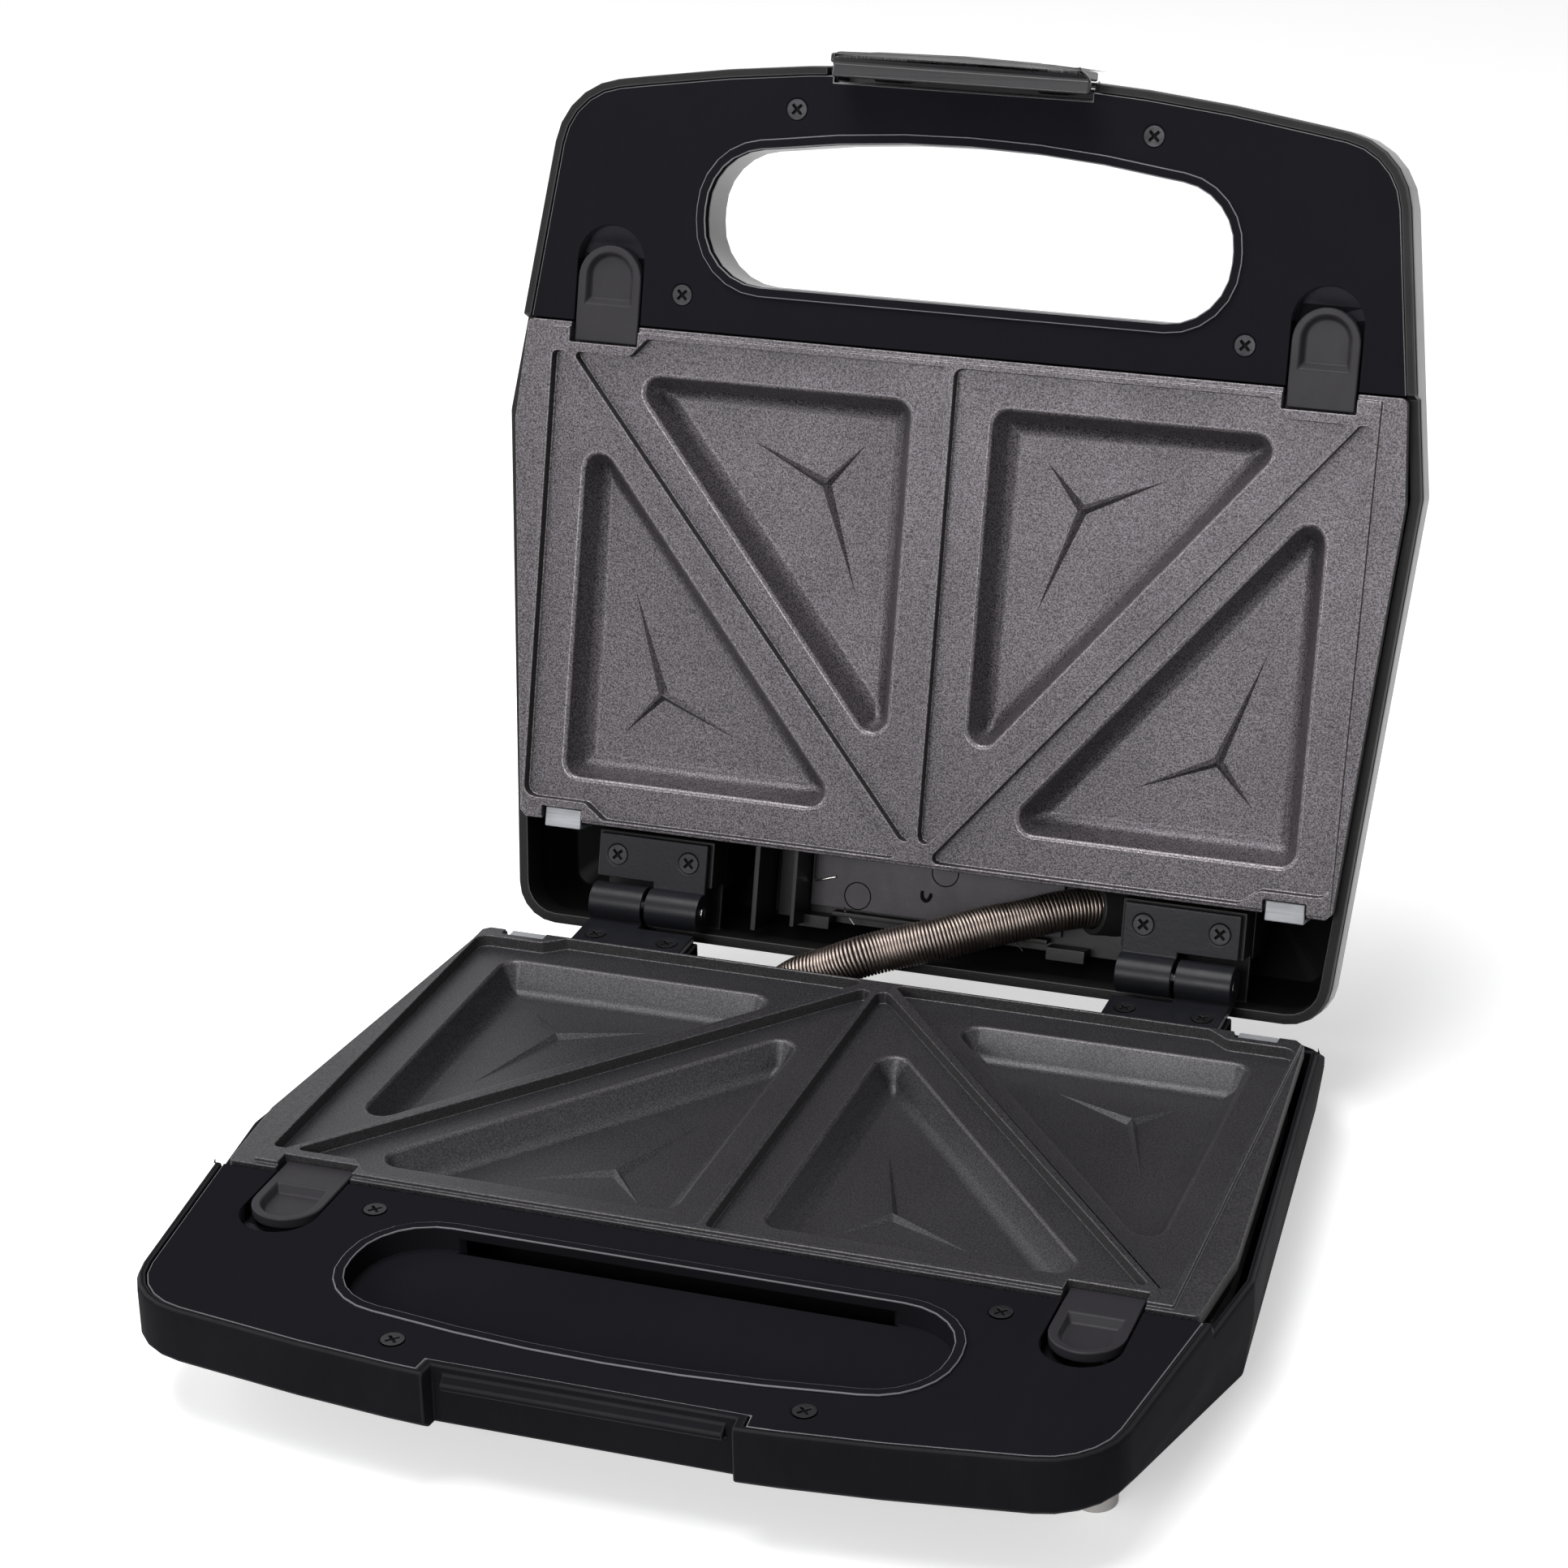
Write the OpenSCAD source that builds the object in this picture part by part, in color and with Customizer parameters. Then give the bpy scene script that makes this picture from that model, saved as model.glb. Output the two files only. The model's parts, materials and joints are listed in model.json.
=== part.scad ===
// Sandwich toaster: two hinged clam-shell halves with removable cooking plates.
// Every piece of a half is drawn in half coordinates: z = 0 is the plane where the two
// plates meet and -z runs into the housing. place_base() stands a half on its feet,
// place_lid() mirrors it and swings it open about the hinge axis.

/* [Body] */
// Width of the base across its widest corners
body_width = 248.6; // [244:0.2:260]
// How far each side draws in from the widest corners to the rear wall
rear_taper = 12.8; // [10:0.2:15]
// How far each side draws in from the widest corners to the front corners
front_taper = 11.1; // [9:0.1:13]
// Distance from the front edge to the rear wall
body_depth = 233.4; // [230:0.2:245]
// How far the front edge bows out at its middle
front_bow = 7.4; // [4:0.2:9]
// Distance from the front edge back to the widest corners
widest_back = 97; // [90:1:104]
// Radius of the front corners
front_corner_r = 20; // [14:1:24]
// Radius of the rear corners
rear_corner_r = 11; // [8:0.5:14]
// Wall of the mouldings
wall = 2; // [1.8:0.1:2.6]
// How far the base stands proud of the lid's rim at each side
base_proud = 1.6; // [1.2:0.1:2.4]
// Depth of the base below the meeting plane
base_depth = 30; // [28:0.5:34]
// Depth of the base under the handle
handle_depth = 16; // [15:0.2:18]
// Depth of the lid above the meeting plane
lid_depth = 43; // [40:0.5:52]
// Depth of the lid over the handle
lid_handle_depth = 16.5; // [16:0.5:20]
// Drop of the rim below the meeting plane beside the handle panel
rim_drop = 1.5; // [1.2:0.1:2]
// Drop of the rim below the meeting plane beside the plate
side_drop = 5; // [4:0.2:6]

/* [Hinge] */
// Angle at which the lid stands open on its stop
open_angle = 106; // [95:1:108]
// Hinge axis ahead of the rear wall
hinge_setback = 8.6; // [8:0.2:10]
// Height of the hinge axis above the meeting plane
hinge_rise = 1.3; // [0.8:0.1:1.6]
// Outer radius of a hinge knuckle
knuckle_r = 5.2; // [4.8:0.1:5.6]
// Radius of a hinge pin
pin_r = 1.75; // [1.5:0.05:2.2]
// Running clearance round a pin in the lid's knuckle
pin_play = 0.06; // [0.03:0.01:0.09]
// Distance from a rear corner of the body to the outer end of its hinge
hinge_side = 23.7; // [20:0.1:30]
// Length of one knuckle
knuckle_len = 14.8; // [12:0.2:15]
// Gap between the two knuckles of a hinge
knuckle_gap = 1; // [0.6:0.1:1.4]
// Thickness of a hinge leaf
leaf_t = 2.2; // [1.8:0.1:2.6]
// Drop of a leaf's face below the meeting plane
leaf_drop = 2; // [1.6:0.1:2.6]

/* [Plate] */
// Distance of the plate's edge from the side of the base at the widest corners
plate_side_gap = 4.6; // [4:0.1:5.5]
// Distance of the plate's edge from the side of the base at the plate's front
plate_front_gap = 3.5; // [3.2:0.1:4.5]
// Distance of the plate's edge from the side of the base at the plate's rear
plate_rear_gap = 3.1; // [2.9:0.1:4]
// Length of the handle, from the front edge to the plate
handle_len = 72.2; // [70:0.2:76]
// Gap between the plate's rear edge and the hinge axis
plate_to_hinge = 20.1; // [19.6:0.1:21]
// Distance of the raised rim's inner edge from the plate's rear corners
rim_side = 1.2; // [1:0.1:2]
// Width of the rim and ridges at the top
ridge_w = 1.6; // [1.2:0.1:2.2]
// Depth of the flat land round each pocket below the rim
land_depth = 3.2; // [2.4:0.1:4]
// Depth of a pocket floor below the rim
pocket_depth = 10.8; // [9:0.2:12]
// Thickness of the plate's casting
plate_t = 2.4; // [2:0.1:3]
// Width of the land between the side rim and a pocket
land_side = 10.2; // [9:0.2:12]
// Width of the land between the corner rim and a pocket
land_rear = 6.3; // [5:0.1:7]
// Corner radius of a pocket
pocket_r = 4; // [3:0.25:5]
// Height of the star that marks a pocket floor
star_h = 1.4; // [0.8:0.1:2]

/* [Handle] */
// Distance from the plate's front edge to the grip opening
grip_gap = 13.2; // [12:0.2:15]
// Distance of each end of the grip opening from the side of the body
grip_side = 43; // [41:0.2:49]
// Width of the grip opening at its ends
grip_end_w = 35.5; // [32:0.5:37]
// Extra width of the grip opening at its middle
grip_bow = 4.2; // [3:0.2:5]
// Width of the raised lip round the grip opening
grip_lip = 2.6; // [2:0.1:3]
// Depth of the finger recess in the base
grip_recess = 5.2; // [4:0.2:6.5]
// Drop of the handle panel below the meeting plane
panel_drop = 1.9; // [1.7:0.1:2.4]
// Thickness of the handle panel
panel_t = 2; // [1.6:0.1:2.4]
// Play round the handle panel
panel_play = 0.3; // [0.2:0.05:0.4]

/* [Release buttons] */
// Distance of a release button's middle from the side of the body
button_side = 17.4; // [16.5:0.1:19]
// Width of a release button
button_w = 17.6; // [16:0.2:18]
// Length of a release button
button_len = 25.5; // [24:0.5:26]
// Travel of a release button
button_travel = 3.5; // [3.2:0.1:4.5]
// Play between a button and its pocket
button_play = 0.5; // [0.3:0.05:0.8]
// Free length behind the button in its scooped pocket
scoop_len = 5.3; // [4.8:0.1:6.5]

/* [Latch] */
// Width of the latch
latch_w = 65.8; // [60:0.2:67]
// Sideways offset of the latch
latch_x = -3.2; // [-4:0.2:-1]
// Half width of the notch that takes the latch
notch_half = 36.4; // [36:0.2:40]
// Depth of the notch in the base's front wall
notch_depth = 5.7; // [5.4:0.1:6.5]
// Thickness of the latch's face
latch_t = 2.4; // [2:0.1:3]

/* [Conduit] */
// Outer diameter of the coiled conduit that carries the wires to the lid
conduit_d = 10.4; // [9:0.1:11]

/* [Hidden] */
$fn = 48;

little = 0.01;
seat = 0.1;                                  // gap where two pieces of one half only rest together
foot_h = 2;
mate_z = base_depth + foot_h;                // height of the meeting plane above the table
rear_y = body_depth / 2;
front_y = -body_depth / 2;
widest_y = front_y + widest_back;
front_width = body_width - 2 * front_taper;
rear_width = body_width - 2 * rear_taper;
hinge_y = rear_y - hinge_setback;
plate_rear = hinge_y - plate_to_hinge;
plate_front = front_y + handle_len;
plate_depth = plate_rear - plate_front;
leaf_w = 2 * knuckle_len + knuckle_gap;
hinge_inner_x = rear_width / 2 - hinge_side - leaf_w;
grip_half = front_width / 2 - grip_side;
button_x = front_width / 2 - button_side;
corner_y = front_y + front_bow * 1.48;       // where the sides reach the front corners
// Half width of the body at a place along its length.
function side_x(y) = y < widest_y ? body_width / 2 - front_taper * (widest_y - y) / (widest_y - corner_y)
    : body_width / 2 - rear_taper * (y - widest_y) / (rear_y - widest_y);
rim_half = side_x(plate_rear) - plate_rear_gap - rim_side;
meet = 0.05;                                 // half the gap between the two rims when the lid is shut
element_r = 3.2;
element_z = -pocket_depth - plate_t - seat - element_r;
tray_t = 0.8;
tray_bottom = element_z - element_r - 2 * tray_t;

// ---------- outlines ----------
function unit(v) = v / norm(v);
function normal(a, b) = let (d = unit(b - a)) [d.y, -d.x];
// Moves every edge of a counter-clockwise outline out by g.
function grow(pts, g) = let (n = len(pts)) [for (i = [0:n - 1])
    let (a = normal(pts[(i + n - 1) % n], pts[i]), b = normal(pts[i], pts[(i + 1) % n]))
        pts[i] + (a + b) * g / (1 + a * b)];
function corner_arc(a, b, c, r, steps) = let (
    u = unit(a - b), w = unit(c - b), half = acos(u * w) / 2,
    mid = b + unit(u + w) * r / sin(half),
    p = b + u * r / tan(half) - mid, q = b + w * r / tan(half) - mid,
    from = atan2(p.y, p.x), turn = (atan2(q.y, q.x) - from + 540) % 360 - 180)
    [for (k = [0:steps]) mid + r * [cos(from + turn * k / steps), sin(from + turn * k / steps)]];
// Rounds each corner of an outline by its own radius.
function rounded(pts, radii, steps = 5) = let (n = len(pts)) [for (i = [0:n - 1])
    each (radii[i] <= 0 ? [pts[i]]
        : corner_arc(pts[(i + n - 1) % n], pts[i], pts[(i + 1) % n], radii[i], steps))];
function mirrored(half) = concat(half,
    [for (i = [len(half) - 1:-1:0]) if (half[i].x > 0) [-half[i].x, half[i].y]]);

bow_end = front_width / 2 - 24;              // where the bowed front edge runs into the corner
bow_steps = 4;
// Right half of a plan outline whose sides stand in by the given amount.
function half_outline(in) = concat(
    [for (i = [0:bow_steps]) let (x = bow_end * i / bow_steps) [x, front_y + front_bow * pow(x / bow_end, 2)]],
    [[front_width / 2 - in, corner_y], [body_width / 2 - in, widest_y],
    [rear_width / 2 - in / 2, rear_y]]);
half_radii = concat([for (i = [0:bow_steps]) 0], [front_corner_r, 8, rear_corner_r]);
outline_radii = concat(half_radii, [for (i = [len(half_radii) - 1:-1:1]) half_radii[i]]);
function plan(in, g) = let (pts = grow(mirrored(half_outline(in)), g))
    rounded(pts, [for (r = outline_radii) r > 0 ? max(r + g, 1) : 0]);
function body_outline(g) = plan(0, g);
function lid_outline(g) = plan(base_proud, g);
module slab(pts, top, bottom) { translate([0, 0, bottom]) linear_extrude(top - bottom) polygon(pts); }
// Extrudes a [y, z] profile across the whole body.
module across(profile, w = 2 * body_width) {
    rotate([90, 0, 90]) translate([0, 0, -w / 2]) linear_extrude(w) polygon(profile);
}
module place_base() { translate([0, 0, mate_z]) children(); }
module place_lid() {
    translate([0, hinge_y, mate_z + hinge_rise]) rotate([-open_angle, 0, 0])
        translate([0, -hinge_y, -hinge_rise]) mirror([0, 0, 1]) children();
}
module both_sides() { children(); mirror([1, 0, 0]) children(); }
module rod(from, to, r) {
    d = to - from;
    translate(from) rotate([0, acos(d.z / norm(d)), atan2(d.y, d.x)]) cylinder(h = norm(d), r = r);
}

// ---------- housing ----------
step_y = plate_front - 0.8;                  // where the rim steps down beside the plate
wall_end = plate_rear + 4.8;                 // rear end of the base's full-height walls
tail_drop = 16.5;                            // top of the low shelf behind the plate
slope_end = front_y + 18.7;                  // where the rising floor levels out under the handle
draft = 2.2;                                 // how far the sides draw in towards the floor
edge_h = 1.6;                                // height of the rounded edge under the handle
stem_r = 3.8;
// The floor's line from the rear wall to the front edge, moved up by the given amount.
function floor_line(up) = concat([[rear_y + 9, up - base_depth]],
    [for (k = [[0, 1], [0.44, 0.66], [0.725, 0.33], [1, 0]])
        [widest_y + (slope_end - widest_y) * k[0], up - handle_depth - (base_depth - handle_depth) * k[1]]],
    [[front_y - 9, up - handle_depth]]);

module base_solid(inset, up) {
    intersection() {
        hull() {
            slab(body_outline(-inset), 8, up + edge_h - handle_depth);
            slab(body_outline(-inset - draft), 8, up - handle_depth);
            intersection() {
                slab(body_outline(-inset - draft), 8, up - base_depth);
                translate([-body_width, widest_y, -base_depth - 1])
                    cube([2 * body_width, body_depth, base_depth + 10]);
            }
        }
        across(concat([[front_y - 9, 9], [rear_y + 9, 9]], floor_line(up)));
    }
}
// What a chamfer takes off the outer edge of a rim whose top is at the given height.
module rim_edge(top, from, to) {
    intersection() {
        difference() {
            slab(body_outline(3), top + 1, top - edge_h);
            hull() {
                slab(body_outline(-1.2), top + 2, top);
                slab(body_outline(0), top - edge_h, top - edge_h - 1);
            }
        }
        translate([-body_width, from, top - 3]) cube([2 * body_width, to - from, 6]);
    }
}
// Rim line of a half: high beside the handle, low beside the plate, cut down behind it.
module above_rim(rear_cut) {
    tail = rear_cut ? [[wall_end - 1, -side_drop], [wall_end + 0.4, -side_drop - 1],
        [wall_end + 11.2, -side_drop - 7.5], [wall_end + 11.2, -tail_drop], [rear_y + 10, -tail_drop]]
        : [[rear_y + 10, -side_drop]];
    across(concat([[rear_y + 10, 20], [front_y - 10, 20], [front_y - 10, -rim_drop], [step_y, -rim_drop],
        [step_y + 1, -side_drop]], tail));
}
notch_y = front_y + notch_depth;
module notch(grown) {
    slab([[-notch_half - grown, front_y - 9], [notch_half + grown, front_y - 9],
        [notch_half + grown - 1.5, notch_y + grown], [-notch_half - grown + 1.5, notch_y + grown]],
        9, -base_depth - 5);
}
screw_r = 1.4;
head_r = 2.8;
panel_screws = [[grip_half - 22.8, front_y + 13], [grip_half + 5.1, plate_front - 9.4]];
module at_panel_screws() {
    for (p = panel_screws) both_sides() translate([p.x, p.y, 0]) children();
}
panel_under = -panel_drop - panel_t;
post_spots = [[70, -30], [70, -100]];        // tray posts, measured from the plate's rear edge
module at_posts() {
    for (p = post_spots) both_sides() translate([p.x, plate_rear + p.y, 0]) children();
}
leaf_screw_in = 5.2;
leaf_screw_xs = [hinge_inner_x + leaf_screw_in, hinge_inner_x + leaf_w - leaf_screw_in];
leaf_front = hinge_y - 18.2;
leaf_back = hinge_y - knuckle_r - 1.4;
leaf_screw_y = leaf_front + 5.4;
module at_leaf_screws() { for (x = leaf_screw_xs) both_sides() translate([x, leaf_screw_y, 0]) children(); }
module hinge_posts(bottom) {
    both_sides() difference() {
        translate([hinge_inner_x - 1, leaf_front - 0.6, bottom])
            cube([leaf_w + 2, leaf_back - leaf_front + 0.8, -leaf_drop - leaf_t - bottom]);
        for (x = leaf_screw_xs) translate([x, leaf_screw_y, -leaf_drop - leaf_t - 9]) cylinder(h = 12, r = screw_r);
    }
}
foot_spots = [[front_width / 2 - 10.2, front_y + 42], [rear_width / 2 - 13.5, rear_y - 13]];
vent_count = 7;
vent_pitch = 9;
catch_y = notch_y - 2.1;                     // front of the ledge that the latch hooks under
catch_h = 5;
conduit_r = conduit_d / 2;
collar_wall = 2;
base_end = [-43, hinge_y - 9.7, -21];
base_mouth = [-35, hinge_y - 9.7, -14.5];
cord_hole_r = 4.4;
cord_x = 40;
cord_z = (-base_depth - tail_drop) / 2 - 0.15;

module base_housing() {
    color([0.1, 0.1, 0.11]) place_base() difference() {
        union() {
            difference() {
                base_solid(0, 0);
                difference() {
                    base_solid(wall, wall);
                    notch(wall);
                    translate([-body_width, wall_end - wall, -tail_drop - wall])
                        cube([2 * body_width, rear_y, tail_drop + 20]);
                }
                intersection() {
                    slab(body_outline(-wall), 9, -tail_drop);
                    translate([-body_width, wall_end, -tail_drop - 1]) cube([2 * body_width, rear_y, tail_drop + 10]);
                }
                above_rim(true);
                rim_edge(-rim_drop, front_y - 9, step_y);
                rim_edge(-side_drop, step_y + 1, wall_end - 1);
            }
            intersection() {
                base_solid(1, 1);
                union() {
                    at_panel_screws() translate([0, 0, -base_depth]) cylinder(h = base_depth + panel_under, r = stem_r);
                    at_posts() translate([0, 0, -base_depth]) cylinder(h = base_depth + tray_bottom, r = 4.5);
                    hinge_posts(-base_depth);
                }
            }
        }
        difference() {
            notch(0);
            across([[notch_y + 1, -rim_drop - 1.4], [catch_y, -rim_drop - 3.4], [catch_y, -rim_drop - catch_h],
                [notch_y + 1, -rim_drop - catch_h]], 2 * notch_half - 8);
        }
        at_panel_screws() translate([0, 0, panel_under - 8]) cylinder(h = 20, r = screw_r);
        for (x = leaf_screw_xs) both_sides() translate([x, leaf_screw_y, -leaf_drop - leaf_t - 9])
            cylinder(h = 12, r = screw_r);
        at_feet() translate([0, 0, -base_depth - 1]) cylinder(h = base_depth - 2, r = plug_r + seat);
        for (k = [0:vent_count - 1]) both_sides()
            translate([26 + k * vent_pitch, plate_rear - 86, -base_depth - 1]) cube([3, 34, wall + 2]);
        rod(1.4 * base_end - 0.4 * base_mouth, 1.8 * base_mouth - 0.8 * base_end, conduit_r + collar_wall + seat);
        translate([cord_x, rear_y - wall - 3, cord_z]) rotate([-90, 0, 0]) cylinder(h = 9, r = cord_hole_r + seat);
    }
}

// ---------- feet, inlet and collars ----------
foot_r = 5;
plug_r = 2.2;
module at_feet() { for (p = foot_spots) both_sides() translate([p.x, p.y, 0]) children(); }
module feet() {
    color([0.75, 0.72, 0.7]) place_base() {
        intersection() {
            at_feet() translate([0, 0, -mate_z]) cylinder(h = mate_z, r = foot_r);
            across(concat([[front_y - 9, -mate_z], [rear_y + 9, -mate_z]], floor_line(-seat)));
        }
        intersection() {
            at_feet() translate([0, 0, -base_depth - foot_h / 2]) cylinder(h = base_depth, r = plug_r);
            across(concat([[front_y - 9, -mate_z], [rear_y + 9, -mate_z]], floor_line(wall)));
        }
    }
}
module cord_inlet() {
    color([0.08, 0.08, 0.08]) place_base() translate([cord_x, rear_y, cord_z]) rotate([-90, 0, 0]) difference() {
        union() {
            translate([0, 0, -wall - 2]) cylinder(h = wall + 3, r = cord_hole_r);
            translate([0, 0, seat]) cylinder(h = 2.4, r = cord_hole_r + 1.6);
        }
        translate([0, 0, -9]) cylinder(h = 20, r = cord_hole_r - 1.4);
    }
}
module collar(from, to) {
    along = (to - from) / norm(to - from);
    difference() {
        rod(from, to, conduit_r + collar_wall);
        rod(from - along, to + along, conduit_r + 0.3);
    }
}
module base_conduit_collar() {
    color([0.1, 0.1, 0.11]) place_base() collar(base_end, base_mouth);
}

// ---------- handle panel ----------
grip_front = plate_front - grip_gap;         // straight side of the grip opening
function grip_outline(g) = let (
    r = grip_end_w / 2 - 0.5, x = grip_half, y = grip_front,
    top = [for (i = [-3:3]) let (t = i / 3) [t * (x - r), y - grip_end_w - grip_bow * (1 - t * t)]],
    pts = grow(concat([[x, y], [-x, y], [-x, y - grip_end_w + 2]], top, [[x, y - grip_end_w + 2]]), g))
    rounded(pts, [for (i = [0:len(pts) - 1]) i < 3 || i == len(pts) - 1 ? r + g - 1.2 : 0], 6);
pocket_half = button_w / 2 + button_play;
button_end = plate_front + 4.9 - button_len; // rounded end of a button
pocket_end = button_end - scoop_len;
function tongue(half, from, to) = concat([[-half, to], [-half, from + half]],
    [for (a = [190:10:350]) [half * cos(a), from + half + half * sin(a)]], [[half, from + half], [half, to]]);
pocket_floor = -6.4;
pocket_floor_t = 1.8;
slot_half = 3.6;
stem_front = button_end + 7.5;
stem_back = stem_front + 6;
module at_buttons() { both_sides() translate([button_x, 0, 0]) children(); }
module panel_outline_slab(in, top, bottom) {
    intersection() {
        slab(plan(in, -wall - panel_play), top, bottom);
        translate([-body_width, front_y - 9, bottom - 1])
            cube([2 * body_width, plate_front - 0.4 - front_y + 9, top - bottom + 2]);
    }
}
module handle_panel(in_base, opening_depth) {
    difference() {
        union() {
            difference() {
                panel_outline_slab(in_base ? 0 : base_proud, -panel_drop, panel_under);
                if (in_base) notch(wall + panel_play);
                else latch_recess(panel_play);
            }
            slab(grip_outline(grip_lip), -panel_drop + 0.7, -panel_drop - 0.5);
            if (opening_depth > 0) slab(grip_outline(1.6), -panel_drop, -panel_drop - opening_depth - 1.8);
            at_buttons() slab(tongue(pocket_half + 1.6, pocket_end - 1.6, plate_front - 0.4), -panel_drop - 0.5,
                pocket_floor - pocket_floor_t);
            at_buttons() translate([-slot_half, stem_front - button_travel - 11, pocket_floor - pocket_floor_t - 6])
                cube([2 * slot_half, 1.6, 7]);
        }
        if (opening_depth > 0) {
            slab(grip_outline(0), 2, -panel_drop - opening_depth);
            slab([[17 - grip_half, grip_front - 0.6], [grip_half - 17, grip_front - 0.6],
                [grip_half - 21, grip_front + 4], [21 - grip_half, grip_front + 4]], panel_under, panel_under - 6);
        } else slab(grip_outline(0), 2, -40);
        at_buttons() intersection() {
            slab(tongue(pocket_half, pocket_end, plate_front + 3), 2, pocket_floor);
            across([[plate_front + 3, 2], [pocket_end - 1, 2], [pocket_end - 1, -panel_drop - 0.9],
                [button_end - 0.5, pocket_floor], [plate_front + 3, pocket_floor]], 40);
        }
        at_buttons() translate([-slot_half, stem_front - button_travel - 0.6, pocket_floor - pocket_floor_t - 1])
            cube([2 * slot_half, stem_back - stem_front + button_travel + 1.2, 9]);
        at_panel_screws() {
            translate([0, 0, -panel_drop - 9]) cylinder(h = 12, r = screw_r + 0.3);
            translate([0, 0, -panel_drop - 1.3]) cylinder(h = 4, r1 = screw_r + 0.4, r2 = screw_r + 0.4 + 4);
        }
    }
}
module base_panel() { color([0.13, 0.13, 0.14]) place_base() handle_panel(true, grip_recess); }
module lid_panel() { color([0.13, 0.13, 0.14]) place_lid() handle_panel(false, 0); }

module screw(len) {
    translate([0, 0, -1.3 - len]) cylinder(h = len + 0.2, r = screw_r - seat);
    difference() {
        translate([0, 0, -1.3]) cylinder(h = 1.3, r1 = screw_r, r2 = head_r - 0.1);
        for (a = [45, 135]) rotate([0, 0, a]) translate([-1.7, -0.35, -0.8]) cube([3.4, 0.7, 2]);
    }
}
module panel_screws() { at_panel_screws() translate([0, 0, -panel_drop + seat]) screw(8); }
module base_panel_screws() { color([0.25, 0.25, 0.26]) place_base() panel_screws(); }
module lid_panel_screws() { color([0.25, 0.25, 0.26]) place_lid() panel_screws(); }

// ---------- release buttons ----------
cap_under = -4.3;
module release_button() {
    difference() {
        union() {
            slab(tongue(button_w / 2, button_end, button_end + button_len), -panel_drop + 0.2, cap_under);
            translate([-6, stem_front - 3.5, pocket_floor + 0.2]) cube([12, 14, cap_under - pocket_floor]);
            translate([-slot_half + 0.4, stem_front, -13]) cube([2 * slot_half - 0.8, stem_back - stem_front, 9]);
        }
        intersection() {
            slab(tongue(5.6, button_end + 3.1, button_end + 15.8), 2, -9);
            across([[button_end, 2], [button_end, -panel_drop - 0.9], [button_end + 13.2, -panel_drop - 0.9],
                [button_end + 15.8, -panel_drop + 0.3], [button_end + 15.8, 2]], 20);
        }
    }
}
spring_r = 2.1;
wire_r = 0.35;
spring_z = -10.9;
spring_from = stem_front - button_travel - 9.4 + seat;
spring_len = stem_front - spring_from - seat;
spring_turns = 6;
// Closed tube of round wire swept along a helix.
module coil_spring() {
    sides = 5; steps = spring_turns * 10;
    pitch = (spring_len - 2 * wire_r) / spring_turns;
    function at(k) = let (a = 36 * k) [spring_r * cos(a), wire_r + pitch * k / 10, spring_r * sin(a)];
    pts = [for (k = [0:steps]) let (a = 36 * k, c = at(k)) for (s = [0:sides - 1])
        let (b = 360 * s / sides, r = wire_r * cos(b)) c + [r * cos(a), wire_r * sin(b), r * sin(a)]];
    faces = concat([[for (s = [0:sides - 1]) s]],
        [for (k = [0:steps - 1]) for (s = [0:sides - 1]) let (n = (s + 1) % sides, a = k * sides)
            each [[a + n, a + s, a + sides + s], [a + n, a + sides + s, a + sides + n]]],
        [[for (s = [sides - 1:-1:0]) steps * sides + s]]);
    polyhedron(pts, faces, convexity = 4);
}
module spring_at(side) { translate([side * button_x, spring_from, spring_z]) coil_spring(); }
module button_at(side) { translate([side * button_x, 0, 0]) release_button(); }
module base_button_left() { color([0.24, 0.23, 0.25]) place_base() button_at(-1); }
module base_button_right() { color([0.24, 0.23, 0.25]) place_base() button_at(1); }
module lid_button_left() { color([0.24, 0.23, 0.25]) place_lid() button_at(-1); }
module lid_button_right() { color([0.24, 0.23, 0.25]) place_lid() button_at(1); }
module base_spring_left() { color("silver") place_base() spring_at(-1); }
module base_spring_right() { color("silver") place_base() spring_at(1); }
module lid_spring_left() { color("silver") place_lid() spring_at(-1); }
module lid_spring_right() { color("silver") place_lid() spring_at(1); }

// ---------- cooking plate ----------
skirt_depth = 9.5;
wing_drop = 1;
flange_drop = 4.4;                           // underside of the flange that overhangs the skirt
skirt_step = 1.5;                            // how far the skirt stands in below the flange
tab_in = rim_half - 16.8;                    // retaining tab's notch, from the middle outwards
tab_out = rim_half - 5.4;
notch_edge = plate_front + 5.2;
ledge_edge = plate_front + 2.2;
notch_rim = plate_front + 7.8;               // inner edge of the rim round a button notch
front_rim = plate_front + 2.9;
rear_rim = plate_rear - 1.6;
corner_rim = plate_rear - 5.7;
ridge_front = [rim_half - 4.4, notch_rim];   // middle line of a diagonal ridge
ridge_rear = [2.5, rear_rim];
ridge_shift = ridge_w / 2 / cos(atan((ridge_front.x - ridge_rear.x) / (ridge_rear.y - ridge_front.y)));
function plate_outline(g) = let (
    rear_half = rim_half + rim_side,
    cut = 1.7 - 0.7 * min(g, 0),
    half = [[0, plate_front], [side_x(plate_front) - plate_front_gap, plate_front],
        [body_width / 2 - plate_side_gap, widest_y + 1.7], [rear_half, plate_rear - cut],
        [rear_half - cut, plate_rear], [0, plate_rear]])
    rounded(grow(concat([for (i = [1:4]) half[i]], [for (i = [4:-1:1]) [-half[i].x, half[i].y]]), g),
        [1.5, 3, 0, 0, 0, 0, 3, 1.5], 3);
outer_cell = rounded([[rim_half, notch_rim], [rim_half, corner_rim], [rim_half - 17.6, corner_rim],
    [rim_half - 23, rear_rim],
    [ridge_rear.x + ridge_shift, rear_rim], [ridge_front.x + ridge_shift, notch_rim]], [1.4, 3, 2, 2, 1.4, 1], 3);
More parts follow.
